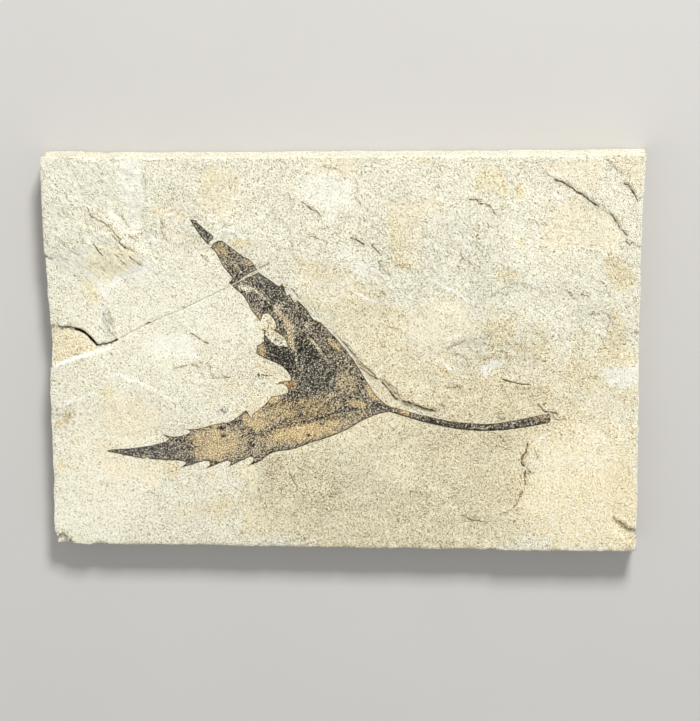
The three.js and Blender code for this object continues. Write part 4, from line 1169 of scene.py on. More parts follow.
# stained and flaked places: kind, how soft the edge is, and the outline
stains = [
    ("clean", 0.9, [
        (-84.8, 77.3), (-76.4, 77.3), (-75.8, 71.9), (-76.0, 65.7), (-74.2, 60.6), (-76.6, 58.7),
        (-80.4, 58.7), (-83.4, 61.4), (-85.2, 65.3), (-85.8, 71.9),
    ]),
    ("clean", 0.5, [
        (-90.4, 58.3), (-87.7, 58.3), (-85.5, 55.5), (-83.7, 52.4), (-81.9, 49.3), (-80.3, 48.1),
        (-82.3, 48.1), (-85.0, 48.9), (-86.8, 51.6), (-89.0, 54.7),
    ]),
    ("clean", 0.6, [(-98.1, 59.8), (-96.2, 60.2), (-93.5, 59.0), (-95.1, 57.5), (-97.0, 57.9)]),
    ("clean", 0.7, [
        (-80.4, 57.9), (-77.4, 57.9), (-77.1, 52.4), (-77.6, 49.3), (-80.7, 49.7), (-82.9, 54.0),
    ]),
    ("clean", 1, [
        (-15.1, 69.6), (-7.4, 70.8), (0.2, 70.4), (4.4, 67.7), (3.2, 62.7), (1.2, 58.4), (-3.0, 56.5),
        (-7.6, 57.6), (-12.1, 60.0), (-15.5, 62.7),
    ]),
    ("clean", 0.9, [(-7.2, 55.7), (-0.7, 56.5), (-1.5, 52.6), (-6.9, 52.2)]),
    ("clean", 0.9, [(4.1, 37.0), (12.5, 37.0), (12.9, 31.9), (5.2, 31.1)]),
    ("clean", 0.6, [
        (52.1, -6.4), (53.7, -3.2), (56.7, -1.6), (60.6, -1.1), (62.1, -1.9), (60.6, -4.3),
        (57.5, -6.4), (54.4, -7.2),
    ]),
    ("clean", 0.6, [(-3.9, 40.1), (-0.8, 42.1), (3.4, 42.5), (3.7, 40.1), (0.3, 38.5), (-3.2, 38.1)]),
    ("ochre", 0.5, [
        (-29, 17), (-25, 16), (-22, 10), (-19.3, 6.2), (-20, 4.6), (-26, 7), (-30.4, 7.8), (-32, 10.4),
        (-29.4, 13),
    ]),
    ("clean", 1.4, [
        (99.5, -5.3), (106.7, -3.7), (113.3, -4.5), (113.4, -10.8), (107.7, -12.5), (101.5, -10.9),
    ]),
    ("clean", 1.2, [
        (-69.0, 9.8), (-61.3, 8.2), (-57.1, 3.9), (-59.6, -1.4), (-68.1, -0.6), (-75.1, 1.8),
        (-75.7, 7.4),
    ]),
    ("brown", 1.5, [(-20, -46), (-6, -44), (1, -54), (-5, -64), (-17, -62), (-22, -54)]),
    ("tan", 0.35, [
        (75.5, 48.9), (77.3, 52.8), (81.1, 55.5), (83.3, 60.1), (85.2, 62.4), (89.7, 62.5),
        (93.5, 59.8), (98.1, 57.8), (102.7, 55.1), (105.8, 50.1), (106.2, 45.5), (102.9, 42.3),
        (98.3, 41.9), (92.6, 43.5), (88.4, 45.4), (85.8, 41.9), (82.0, 41.5), (78.6, 43.4),
        (75.9, 45.8),
    ]),
    ("tan", 0.35, [(101.9, 78.2), (113.5, 79.0), (113.4, 65.2), (109.6, 68.3), (106.1, 72.1)]),
    ("tan", 0.6, [
        (17.6, 59.2), (21.4, 61.2), (27.9, 60.0), (33.6, 62.7), (37.4, 62.0), (37.0, 58.9),
        (34.4, 56.2), (30.9, 54.2), (29.8, 49.6), (32.8, 47.2), (29.4, 45.3), (29.4, 37.1),
        (24.0, 34.7), (20.2, 39.4), (18.7, 45.6), (17.2, 51.5),
    ]),
    ("tan", 0.8, [(77.1, 75.9), (97.0, 76.7), (97.9, 69.0), (94.2, 65.2), (85.1, 69.8), (79.0, 72.1)]),
    ("tan", 0.8, [
        (-53.2, 71.9), (-48.6, 74.6), (-41.3, 73.5), (-38.0, 68.1), (-39.7, 61.1), (-44.4, 55.6),
        (-51.3, 54.8), (-55.0, 59.5), (-54.1, 66.5),
    ]),
    ("tan", 0.4, [
        (-67.2, 50.1), (-62.2, 48.2), (-58.4, 47.8), (-55.0, 45.1), (-56.1, 44.7), (-66.9, 44.6),
        (-68.8, 48.5),
    ]),
    ("tan", 0.5, [
        (-72.7, 59.5), (-68.9, 58.3), (-62.0, 57.9), (-58.2, 54.8), (-62.1, 52.9), (-68.6, 54.4),
        (-72.8, 55.6),
    ]),
    ("tan", 0.7, [
        (-17.8, 38.9), (-12.4, 36.9), (-7.8, 36.9), (-3.2, 33.0), (1.0, 27.9), (-1.8, 22.8),
        (-8.0, 22.0), (-14.1, 25.9), (-17.9, 31.4),
    ]),
    ("tan", 0.7, [(-11.9, 77.3), (3.3, 77.7), (5.5, 74.3), (2.5, 72.0), (-4.4, 71.2), (-11.2, 72.7)]),
    ("tan", 1.2, [
        (-95.3, -19.3), (-90.4, -14.4), (-84.2, -16.4), (-76.5, -19.2), (-71.9, -24.0), (-72.8, -30.5),
        (-77.7, -33.8), (-91.1, -34.7), (-95.7, -29.9),
    ]),
    ("tan", 0.8, [(-97.0, -34.8), (-93.0, -33.9), (-92.8, -38.4), (-94.5, -43.0), (-97.3, -42.2)]),
    ("tan", 0.7, [
        (-81.1, -43.7), (-72.4, -43.2), (-71.8, -48.5), (-74.3, -53.5), (-79.8, -53.5), (-82.0, -48.6),
    ]),
    ("tan", 1.5, [
        (37.4, 22.2), (45.9, 22.2), (49.0, 15.9), (47.5, 7.9), (39.8, 3.1), (33.6, -2.5), (27.4, 1.5),
        (25.1, 10.2), (28.2, 19.7),
    ]),
    ("tan", 0.9, [
        (42.1, 0.4), (47.5, 4.8), (51.3, 1.6), (52.1, -3.2), (49.0, -8.0), (44.4, -8.0), (42.1, -4.0),
    ]),
    ("tan", 0.6, [
        (62.5, -2.3), (68.3, 0.1), (74.5, -2.3), (80.7, -6.2), (81.1, -11.0), (74.5, -11.1),
        (66.8, -10.3), (61.8, -7.9),
    ]),
    ("tan", 1.2, [
        (92.7, -11.8), (100.7, -12.5), (108.5, -16.5), (107.9, -23.7), (99.4, -25.4), (93.9, -20.6),
    ]),
    ("tan", 0.8, [
        (89.8, -27.5), (95.6, -25.4), (99.5, -28.6), (101.8, -32.2), (98.4, -35.1), (94.9, -33.9),
        (91.8, -30.7),
    ]),
    ("ochre", 1, [
        (29.7, -36.4), (41.4, -29.8), (60.8, -29.7), (70.1, -33.6), (69.4, -45.8), (69.5, -54.0),
        (63.3, -61.4), (49.2, -60.7), (37.5, -58.4), (31.2, -46.1),
    ]),
    ("tan", 0.8, [(-96.9, -42.1), (-84.3, -43.7), (-82.0, -48.6), (-88.4, -50.3), (-96.3, -48.7)]),
    ("brown", 0.7, [(-71.2, -43.2), (-65.3, -43.2), (-65.4, -48.5), (-68.6, -49.7), (-71.3, -46.9)]),
    ("brown", 0.6, [
        (-113.4, -28.8), (-111.3, -25.9), (-108.9, -23.8), (-106.5, -23.4), (-107.0, -26.7),
        (-109.0, -29.1), (-111.4, -29.6),
    ]),
    ("brown", 0.9, [(-50.9, 71.9), (-47.1, 72.7), (-47.2, 68.0), (-51.8, 65.7), (-52.9, 68.8)]),
    ("brown", 0.8, [
        (18.4, 52.6), (21.4, 54.2), (22.9, 48.8), (22.1, 41.0), (26.7, 37.1), (23.6, 33.9),
        (19.8, 37.0), (18.3, 44.8),
    ]),
    ("brown", 0.8, [
        (-17.7, 40.1), (-14.7, 37.7), (-10.9, 36.9), (-7.0, 35.4), (-4.8, 32.2), (-9.4, 31.4),
        (-14.7, 34.6),
    ]),
    ("brown", 0.9, [(56.7, 13.5), (65.9, 14.4), (66.7, 8.0), (62.9, 4.0), (57.5, 2.4), (55.1, 8.0)]),
    ("brown", 0.7, [(63.6, 6.0), (70.5, 5.3), (69.8, 2.5), (64.4, 3.3)]),
    ("brown", 0.7, [(55.2, 1.6), (61.7, 0.9), (61.4, -1.1), (56.0, -1.6), (53.6, -0.4)]),
    ("brown", 0.7, [(69.9, -12.7), (78.0, -11.4), (79.6, -16.6), (76.9, -19.9), (71.5, -18.7)]),
    ("brown", 0.7, [(59.5, -17.6), (65.3, -16.7), (65.4, -23.2), (62.3, -25.6), (59.2, -23.2)]),
    ("brown", 0.8, [
        (103.3, 20.0), (107.9, 15.3), (108.1, 6.6), (103.5, 5.0), (101.2, 9.0), (103.0, 13.7),
    ]),
    ("brown", 0.8, [
        (99.9, 38.8), (104.4, 39.6), (109.1, 36.5), (111.4, 31.8), (110.4, 26.4), (105.4, 26.3),
        (102.3, 30.2),
    ]),
    ("brown", 0.7, [(86.8, -3.8), (89.1, -3.8), (89.1, -7.8), (86.8, -8.6)]),
    ("brown", 0.8, [(90.7, -7.8), (97.6, -7.7), (96.9, -14.1), (91.5, -14.2)]),
    ("brown", 0.7, [
        (-31.1, -46.6), (-29.9, -42.5), (-27.1, -40.4), (-23.2, -40.0), (-21.2, -41.2), (-22.1, -45.7),
        (-24.5, -49.0), (-27.6, -51.5), (-30.8, -50.7),
    ]),
    ("brown", 0.6, [
        (-32.0, -54.8), (-29.3, -53.1), (-23.8, -53.9), (-23.0, -57.6), (-27.0, -60.1), (-30.9, -60.6),
        (-32.9, -58.1),
    ]),
    ("brown", 0.7, [
        (-13.5, -55.5), (-11.5, -52.6), (-8.8, -49.3), (-6.4, -48.0), (-3.3, -49.3), (-4.1, -53.8),
        (-7.3, -57.9), (-10.4, -59.6), (-13.2, -58.8),
    ]),
    ("brown", 0.8, [(-6.5, -59.5), (-1.0, -60.3), (0.1, -64.4), (-3.4, -66.1), (-6.5, -63.7)]),
    ("brown", 0.8, [
        (-15.4, -47.3), (-10.3, -46.4), (-7.1, -43.1), (-4.0, -43.9), (-5.6, -47.2), (-11.1, -50.5),
    ]),
    ("brown", 0.8, [(-14.4, -62.9), (-8.9, -62.0), (-7.4, -67.0), (-11.4, -71.2), (-14.5, -69.5)]),
    ("brown", 0.8, [
        (21.0, -59.3), (25.7, -55.2), (32.8, -53.5), (34.3, -57.6), (31.2, -65.0), (25.7, -66.7),
        (21.0, -63.4),
    ]),
    ("brown", 0.8, [(47.7, -65.7), (53.2, -67.3), (56.3, -70.6), (52.4, -73.1), (47.7, -71.5)]),
    ("brown", 0.6, [(81.8, -72.8), (84.5, -72.8), (84.6, -78.6), (80.3, -79.0), (81.1, -76.1)]),
    ("brown", 0.7, [(64.0, -47.5), (70.2, -45.8), (70.3, -54.0), (67.2, -58.1), (64.1, -54.9)]),
    ("brown", 0.6, [(107.9, -67.2), (111.8, -68.9), (114.2, -70.5), (110.3, -70.9)]),
    ("brown", 0.9, [
        (37.5, -29.8), (49.1, -30.5), (60.8, -30.5), (63.9, -34.5), (56.9, -37.8), (45.3, -36.3),
        (38.2, -36.3),
    ]),
    ("gold", 1.5, [
        (49.9, 69.7), (51.4, 73.2), (55.2, 74.7), (59.0, 73.6), (60.9, 70.1), (59.8, 65.9),
        (56.0, 64.3), (51.8, 65.1),
    ]),
    ("gold", 1.2, [(60.1, 69.0), (62.8, 67.4), (62.4, 63.6), (59.4, 63.9)]),
    ("amber", 0.6, [(65.5, 65.9), (67.7, 67.0), (68.9, 64.7), (67.8, 62.4), (65.9, 62.8)]),
    ("ochre", 0.9, [
        (-113.9, 9.6), (-110.8, 10.0), (-105.3, 9.6), (-101.4, 8.1), (-98.4, 4.9), (-96.2, 2.1),
        (-99.3, 1.3), (-103.3, -0.4), (-108.1, -2.0), (-113.6, -3.2),
    ]),
    ("ochre", 1, [
        (-101.9, 28.8), (-98.4, 29.6), (-95.4, 25.6), (-94.0, 20.5), (-97.9, 21.6), (-100.1, 24.8),
    ]),
    ("ochre", 0.5, [
        (-42.6, 45.5), (-39.2, 46.3), (-35.3, 45.5), (-35.4, 43.1), (-39.2, 42.7), (-41.9, 43.1),
    ]),
    ("ochre", 0.8, [(-93.5, -12.8), (-90.8, -13.6), (-90.5, -17.2), (-92.9, -18.5), (-94.4, -16.0)]),
    ("ochre", 0.7, [(29.1, 78.1), (32.1, 78.1), (32.1, 75.8), (29.5, 75.8)]),
    ("ochre", 0.6, [(67.1, 47.3), (69.4, 47.3), (69.0, 44.6), (67.1, 44.6)]),
    ("ochre", 0.9, [(58.1, 33.2), (66.5, 34.8), (67.2, 31.7), (63.4, 30.1), (58.9, 30.5)]),
    ("ochre", 0.9, [(25.7, -53.5), (31.2, -51.9), (33.6, -55.1), (31.2, -58.4), (26.5, -57.6)]),
    ("ochre", 1.6, [(100.9, -44.0), (112.9, -42.3), (113.8, -69.2), (107.1, -66.0), (102.3, -57.8)]),
    ("ochre", 0.9, [(-50.7, -58.3), (-45.1, -56.6), (-42.8, -59.8), (-46.0, -62.8), (-50.3, -62.0)]),
    ("ochre", 0.8, [(-111.9, -43.1), (-109.6, -43.5), (-110.1, -46.8), (-112.1, -46.8)]),
    ("amber", 0.35, [
        (35.9, -5.3), (38.2, -4.1), (40.9, -6.0), (42.1, -8.0), (39.8, -8.9), (37.5, -7.3),
    ]),
    ("amber", 0.4, [(50.5, 6.4), (52.1, 6.4), (52.1, 8.0), (50.5, 8.0)]),
]


def scarRun(number, line):
    # a scar's own wavering line, its length, and the side that faces up the plate
    fine = rough(smoothLine(line, 0.3), 0.24, 1.5, 200 + number)
    (x0, y0), (x1, y1) = line[0], line[-1]
    return fine, stepLengths(fine).sum(), 1 if (x1 - x0) - 0.3 * (y1 - y0) > 0 else -1


def grooveRun(number, line):
    fine = rough(smoothLine(line, 0.4), 0.2, 2.4, 300 + number)
    return fine, stepLengths(fine).sum()


def leafMargins():
    # the outline of each leaf piece on the stone, from its solid
    found = {}
    for name in ("leaf_blade", "leaf_lobe_end", "leaf_lobe_tip"):
        mesh = nodes[name].data
        foot = min(v.co.z for v in mesh.vertices) + 1e-6
        seen = {}
        for face in mesh.polygons:
            if all(mesh.vertices[v].co.z < foot for v in face.vertices):
                ids = [tuple(round(c, 7) for c in mesh.vertices[v].co[:2]) for v in face.vertices]
                for a, b in zip(ids, ids[1:] + ids[:1]):
                    seen[(a, b)] = True
        # edges that only one face of the foot has
        after = {a: b for a, b in seen if (b, a) not in seen}
        start = min(after)
        ring = [start]
        while after[ring[-1]] != start:
            ring.append(after[ring[-1]])
        found[name] = counterclockwise(np.array(ring) / mm)
        print(name, "margin has", len(ring), "points")
    return found


def nearLeaf(x, y, margins):
    # 1 on the leaf, falling to 0 a few millimetres outside it
    near = np.zeros(len(x))
    for ring in margins.values():
        some = nearBox(x, y, ring, 4)
        inside, away = insideRing(x[some], y[some], ring)
        near[some] = np.maximum(near[some], np.where(inside, 1, smoothStep(3, 0.8, away)))
    return near


def slabOutline(level):
    # the slab's outline at one height, evenly divided, counterclockwise
    cut = bmesh.new()
    cut.from_mesh(nodes["slab"].data)
    bmesh.ops.remove_doubles(cut, verts=cut.verts[:], dist=1e-6)
    bmesh.ops.bisect_plane(
        cut, geom=cut.verts[:] + cut.edges[:] + cut.faces[:], plane_co=(0, 0, level * mm),
        plane_no=(0, 0, 1), clear_inner=True, clear_outer=True,
    )
    start = cut.verts[:][0]
    ring, edge = [start], start.link_edges[0]
    while True:
        vertex = edge.other_vert(ring[-1])
        if vertex == start:
            break
        ring.append(vertex)
        edge = next(e for e in vertex.link_edges if e != edge)
    points = counterclockwise(np.array([v.co[:2] for v in ring]) / mm)
    cut.free()
    # each of the four sides is divided on its own, so that the corners stay
    corners = sorted(
        int(np.argmax(sx * points[:, 0] + sy * points[:, 1]))
        for sx, sy in ((1, 1), (-1, 1), (-1, -1), (1, -1))
    )
    points = np.vstack([np.roll(points, -corners[0], 0), points[corners[0]]])
    stops = [corner - corners[0] for corner in corners] + [len(points) - 1]
    sides = []
    for first, last in zip(stops[:-1], stops[1:]):
        side = points[first : last + 1]
        travel = np.concatenate([[0], np.cumsum(stepLengths(side))])
        at = np.linspace(0, travel[-1], round(travel[-1] / slabLook["rimSpacing"]), endpoint=False)
        sides.append(np.column_stack([np.interp(at, travel, part) for part in side.T]))
    return np.vstack(sides)


def inwardOf(ring):
    along = np.roll(ring, -3, 0) - np.roll(ring, 3, 0)
    along /= np.linalg.norm(along, axis=1)[:, None]
    return np.column_stack([-along[:, 1], along[:, 0]])


def softSurfaces(cadTree):
    # the solid's upper side with its steps worn to slopes, and to longer slopes, on a square grid
    spacing, passes = slabLook["softSpacing"], slabLook["softPasses"]
    xs = np.arange(-reachX, reachX + 0.1, spacing)
    ys = np.arange(-reachY, reachY + 0.1, spacing)
    gx, gy = np.meshgrid(xs, ys)
    heights = heightOn(cadTree, gx.ravel(), gy.ravel(), 0).reshape(gx.shape)
    weight = (heights > offPlate).astype(float)
    total = heights * weight
    grids = []
    for turn in range(1, passes[-1] + 1):
        for axis in (0, 1):
            total = (np.roll(total, 1, axis) + total + np.roll(total, -1, axis)) / 3
            weight = (np.roll(weight, 1, axis) + weight + np.roll(weight, -1, axis)) / 3
        if turn in passes:
            grids.append(np.where(weight > 0.01, total / np.maximum(weight, 0.01), bedding))

    def heightAt(grid, x, y):
        u = np.clip((x - xs[0]) / spacing, 0, len(xs) - 1.001)
        v = np.clip((y - ys[0]) / spacing, 0, len(ys) - 1.001)
        i, j = u.astype(int), v.astype(int)
        fu, fv = u - i, v - j
        lower = grid[j, i] * (1 - fu) + grid[j, i + 1] * fu
        upper = grid[j + 1, i] * (1 - fu) + grid[j + 1, i + 1] * fu
        return lower * (1 - fv) + upper * fv

    return [lambda x, y, grid=grid: heightAt(grid, x, y) for grid in grids]


def hackles(x, y, size, seed):
    # slanting splits: long low ridges, steep on one side
    u, v = (x - y) * 0.707, (x + y) * 0.707
    v = v + 0.9 * fractal(x, y, 9, 2, seed + 50)
    swell = fractal(v, u * 0.22, size, 3, seed, 0.6)
    return 1 - 2 * np.abs(swell)


def stainField(x, y, kind):
    # 1 inside the stains of one kind, 0 outside them, 0.5 on their outlines
    value = np.zeros(len(x))
    for number, (name, soft, outline) in enumerate(stains):
        if name != kind:
            continue
        ring = rough(smoothLine(outline + outline[:1], 0.9), 0.45 * soft, 3, 900 + number)[:-1]
        some = nearBox(x, y, ring, 2.5 * soft)
        inside, away = insideRing(x[some], y[some], ring)
        away = np.where(inside, away, -away)
        value[some] = np.maximum(value[some], np.clip(0.5 + away / (5 * soft), 0, 1))
    return value


def wornFace(x, y, cadTree, calm, rimAway):
    # the solid's upper face with wavering ledges, filled grooves and worn steps
    near = smoothStep(0.6, 3, rimAway)
    warp = (1 - calm) * near
    wx = x + warp * (0.7 * fractal(x, y, 5, 3, 21) + 0.3 * gradientNoise(x, y, 1.5, 31))
    wy = y + warp * (0.7 * fractal(x, y, 5, 3, 41) + 0.3 * gradientNoise(x, y, 1.5, 51))
    # the rim stands a little outside the solid, so its height is read further in
    hold = 1.3 * smoothStep(1.8, 0.6, rimAway)
    wx -= hold * np.sign(x) * (np.abs(x) > rimX)
    wy -= hold * np.sign(y) * (np.abs(y) > rimY)
    around = ((-0.16, -0.1), (0.16, -0.1), (0, 0.18))
    samples = [heightOn(cadTree, wx + dx, wy + dy, 0) for dx, dy in around]
    base = np.mean(samples, 0)
    low = np.min(samples, 0) < offPlate
    base[low] = np.max(samples, 0)[low]

    # the solid's plain grooves are filled here, and cutGrooves cuts them finer
    for line in (crackLine, crackFar, creviceLine):
        fine = smoothLine(line, 0.4)
        some, away, along = lineField(x, y, fine, 1.4)
        for offset in (-1.3, 1.3):
            side = fine + acrossLine(fine) * offset
            level = heightOn(cadTree, side[:, 0], side[:, 1], bedding)
            here = level[np.clip((along * (len(fine) - 1)).round().astype(int), 0, len(fine) - 1)]
            own = (np.sign(away) == np.sign(offset)) & (np.abs(away) < 1.1)
            base[some[own]] = here[own]

    worn = paint(x, y, 0.25, wornAreas, 0.35, 4, 0.5, 161)
    worn = np.clip(worn + 0.5 * fractal(x, y, 5, 2, 165), 0, 1) * near * (1 - calm**3)
    slopes, longSlopes = softSurfaces(cadTree)
    base += worn * (slopes(wx, wy) - base)
    base += paint(x, y, 0, gentleAreas, 0.2, 4, 0.5, 167) * near * (longSlopes(x, y) - base)
    return base


def splitRelief(x, y, calm, streaky):
    # what the split left standing: lumps, thin broken sheets and hackles
    uneven = paint(x, y, 0.06, unevenAreas, 0.3, 14, 0.45, 61) * (1 - 0.7 * calm)
    relief = 0.6 * uneven * fractal(x, y, 6, 4, 71, 0.6)
    # the sheets are even steps of a slow swell
    sheets = fractal(x, y, 15, 5, 81, 0.55) * 3.4
    whole = np.floor(sheets)
    relief += 0.8 * uneven * (whole + smoothStep(0.4, 0.6, sheets - whole))
    relief += slabLook["hackleDepth"] * streaky * hackles(x, y, 3.4, 91)
    return relief


def raiseMark(marks, kind, some, values):
    marks[kind][some] = np.maximum(marks[kind][some], values)


def cutScars(x, y, z, marks, calm):
    for kind, scars in (("dirtAndShade", shadedScars), ("bruiseAndHighlight", litBruisedScars)):
        for number, (shade, half, line) in enumerate(scars):
            fine, length, up = scarRun(number, line)
            some, away, along = lineField(x, y, fine, 5)
            if not len(some):
                continue
            taper = smoothStep(0, 0.12, along) * smoothStep(1, 0.88, along)
            swell = gradientNoise(along * length, along * 0 + 0.3, 1.3, 700 + number)
            wide = half * (0.9 + 0.4 * swell)
            # a faint scar is broken up more than a strong one
            broken = 0.4 + 0.9 * smoothStep(1.1, 0.6, shade)
            core = np.exp(-((away / wide) ** 2)) * taper * np.clip(0.95 + broken * (swell - 0.1), 0, 1)
            # a dark scar's core is dirt and painted shade, a bright scar's core a bruise and painted
            # highlight
            strength = 0.95 * shade if kind == "dirtAndShade" else 1.25 * shade
            raiseMark(marks, kind, some, np.minimum(strength * core, 1))
            # thinner broken lines of dirt and painted shade run beside a strong dark one
            besides = (0.75, -0.6, 1.5) if kind == "dirtAndShade" and shade >= 0.65 else ()
            for turn, offset in enumerate(besides):
                beside = gradientNoise(along * length, along * 0 + 0.7, 2.1, 1700 + 3 * number + turn)
                aside = away * up - offset * (0.6 + half) - 0.35 * beside
                thin = np.exp(-((aside / 0.2) ** 2)) * taper * smoothStep(-0.1, 0.3, beside)
                raiseMark(marks, kind, some, 0.55 * shade * thin)
            # the upper side stands over a dark scar, the lower side over a bruised one; a strong dark scar
            # also gets crinkled grain along it and a painted highlight along its lower side
            side = away * up * (1 if kind == "dirtAndShade" else -1)
            if kind == "dirtAndShade" and shade > 0.55:
                frayed = shade * np.exp(-((side - 0.3) / (4 * half)) ** 2) * taper
                raiseMark(marks, "ragged", some, frayed)
                bright = 0.5 * shade * np.exp(-((side + 1.9 * half) / half) ** 2) * taper * (swell > -0.2)
                raiseMark(marks, "bruiseAndHighlight", some, bright)
            lip = smoothStep(-half, half, side) * np.exp(-np.maximum(side, 0) / 1.6) * taper
            z[some] += shade * (slabLook["scarLip"] * lip * (1 - 0.6 * calm[some]) - 0.1 * core)


def cutGrooves(x, y, z, marks):
    for number, (depth, half, dirtAndShadeShare, line) in enumerate(grooves):
        fine, length = grooveRun(number, line)
        some, away, along = lineField(x, y, fine, half * 2)
        taper = smoothStep(0, 0.06, along) * smoothStep(1, 0.94, along)
        wide = half * (0.7 + 0.45 * gradientNoise(along * length, along * 0, 5, 800 + number))
        cut = np.clip(1.25 - np.abs(away) / wide, 0, 1) * taper
        z[some] -= depth * cut
        raiseMark(marks, "dirtAndShade", some, dirtAndShadeShare * np.minimum(cut * 1.6, 1))


def slabFace(x, y, cadTree, margins, rimAway, rimChip):
    # height of the dressed upper face at each point, with what is painted on it
    calm = nearLeaf(x, y, margins)
    streaky = paint(x, y, 0.08, streakAreas, 0.35, 6, 0.5, 171) * (1 - 0.8 * calm)
    z = wornFace(x, y, cadTree, calm, rimAway)
    z += splitRelief(x, y, calm, streaky) * smoothStep(0, 2, rimAway)
    marks = {key: np.zeros(len(x)) for key in ("dirtAndShade", "bruiseAndHighlight", "ragged")}
    cutScars(x, y, z, marks, calm)
    cutGrooves(x, y, z, marks)
    z -= np.maximum(rimChip - rimAway, 0) * 0.75
    z = np.minimum(z, cadBox[1].z / mm - 0.02)

    for kind in ("clean", "tan", "brown", "ochre", "gold", "amber"):
        marks[kind] = stainField(x, y, kind)
    marks["yellow"] = paint(x, y, 0.1, yellowAreas, 0.35, 10, 0.5, 111)
    marks["pale"] = paint(x, y, 0.5, paleAreas, 0.4, 9, 0.5, 131)
    marks["contrast"] = paint(x, y, 0.5, contrastAreas, 0.3, 14, 0.5, 141)
    marks["smudgeAndShade"] = paint(x, y, 0, smudgeAndShadeAreas, 0.3, 2, 0.4, 151)
    marks["streaky"] = streaky
    # a painted highlight runs along the rim at the plate's two ends
    ends = 0.6 * smoothStep(1.1, 0.3, rimAway) * (np.abs(x) > 110)
    raiseMark(marks, "bruiseAndHighlight", slice(None), ends * (0.7 + 0.6 * fractal(y, x * 0, 7, 3, 157)))
    marks["film"] = paint(x, y, 0, crumbAreas, 0.35, 1.6, 0.4, 155)
    marks["side"] = np.zeros(len(x))
    return z, marks


def sideRings(cadTree, ring, inward, top, sawn):
    # rings of points up the sides, each standing in from the solid's own side
    travel = np.arange(len(ring)) * slabLook["rimSpacing"]
    uneven = slabLook["sideUneven"] * np.where(sawn, 0, 1)
    rings = []
    for level, share in enumerate(np.linspace(0, 1, slabLook["sideLevels"])):
        z = share * (top - 0.3)
        insets = np.empty(len(ring))
        for i in range(len(ring)):
            start = Vector((*((ring[i] - inward[i] * 3) * mm), min(max(z[i], 0.05), top[i] - 0.1) * mm))
            hit = cadTree.ray_cast(start, Vector((*inward[i], 0)), 0.008)[3]
            insets[i] = 0.4 if hit is None else hit / mm - 3
        insets = np.clip(insets, -0.8, 1.4) - 0.5 * (ring[:, 0] < -100) - 0.25 * (ring[:, 0] > 100)
        bite = 0.5 + 0.5 * fractal(travel, z * 6, 6, 4, 401)
        bite += 0.3 * gradientNoise(travel * 0.05, z + 0.1 * travel * 0, 0.9, 411)
        insets = insets + uneven * np.clip(bite, 0, 1.5)
        if level == 0:
            insets += 0.25
        rings.append(np.column_stack([ring + inward * insets[:, None], z]))
    return rings


def facePoints(cadTree, rim):
    # points of the upper face: coarse everywhere, fine round every ledge and groove
    runs = [(grooveRun(number, line)[0], half) for number, (_, half, _, line) in enumerate(grooves)]
    for scars in (shadedScars, litBruisedScars):
        runs += [(scarRun(number, line)[0], 1.2 * half) for number, (_, half, line) in enumerate(scars)]
    chains = [fine + acrossLine(fine) * offset for fine, half in runs for offset in (-half, 0, half)]
    chains = np.vstack(chains)
    chains = chains[wellInside(*chains.T, rim, 0.4)]
    chains = chains[thinned(chains, 0.16)]
    print(len(chains), "points along scars and grooves")

    x, y = lattice((-reachX, -reachY), (reachX, reachY), slabLook["fineSpacing"], 5)
    columns = len(np.arange(-reachX, reachX, slabLook["fineSpacing"]))
    row, column = np.divmod(np.arange(len(x)), columns)
    coarse = (row % 2 == 0) & ((column + row // 2) % 2 == 0)
    inside = (np.abs(x) < 115) & (np.abs(y) < 78.8)
    x, y, coarse = x[inside], y[inside], coarse[inside]
    around = ((-0.9, 0), (0.9, 0), (0, -0.9), (0, 0.9))
    probe = np.array([heightOn(cadTree, x + dx, y + dy, 0) for dx, dy in around])
    busy = np.ptp(probe, axis=0) > 0.12
    for *_, line in grooves:
        busy[lineField(x, y, smoothLine(line, 0.8), 1.4)[0]] = True
    busy |= paint(x, y, 0, streakAreas, 0.2, 6, 0.5, 171) > 0.45
    plain = np.column_stack([x, y])[coarse | busy]
    plain = plain[wellInside(*plain.T, rim, 0.45)]
    return np.vstack([chains, plain[thinned(plain, 0.3, chains)]])


def rimGaps(x, y, rim, chip):
    # how far each point is from the rim, and how deep the rim is chipped beside it
    rimAway = np.full(len(x), 50.0)
    rimChip = np.zeros(len(x))
    edge = np.flatnonzero((np.abs(x) > rimX) | (np.abs(y) > rimY))
    for block in np.array_split(edge, 30):
        gaps = np.hypot(x[block, None] - rim[None, :, 0], y[block, None] - rim[None, :, 1])
        rimAway[block] = gaps.min(1)
        rimChip[block] = chip[gaps.argmin(1)]
    rimAway[: len(rim)] = 0
    return rimAway, rimChip


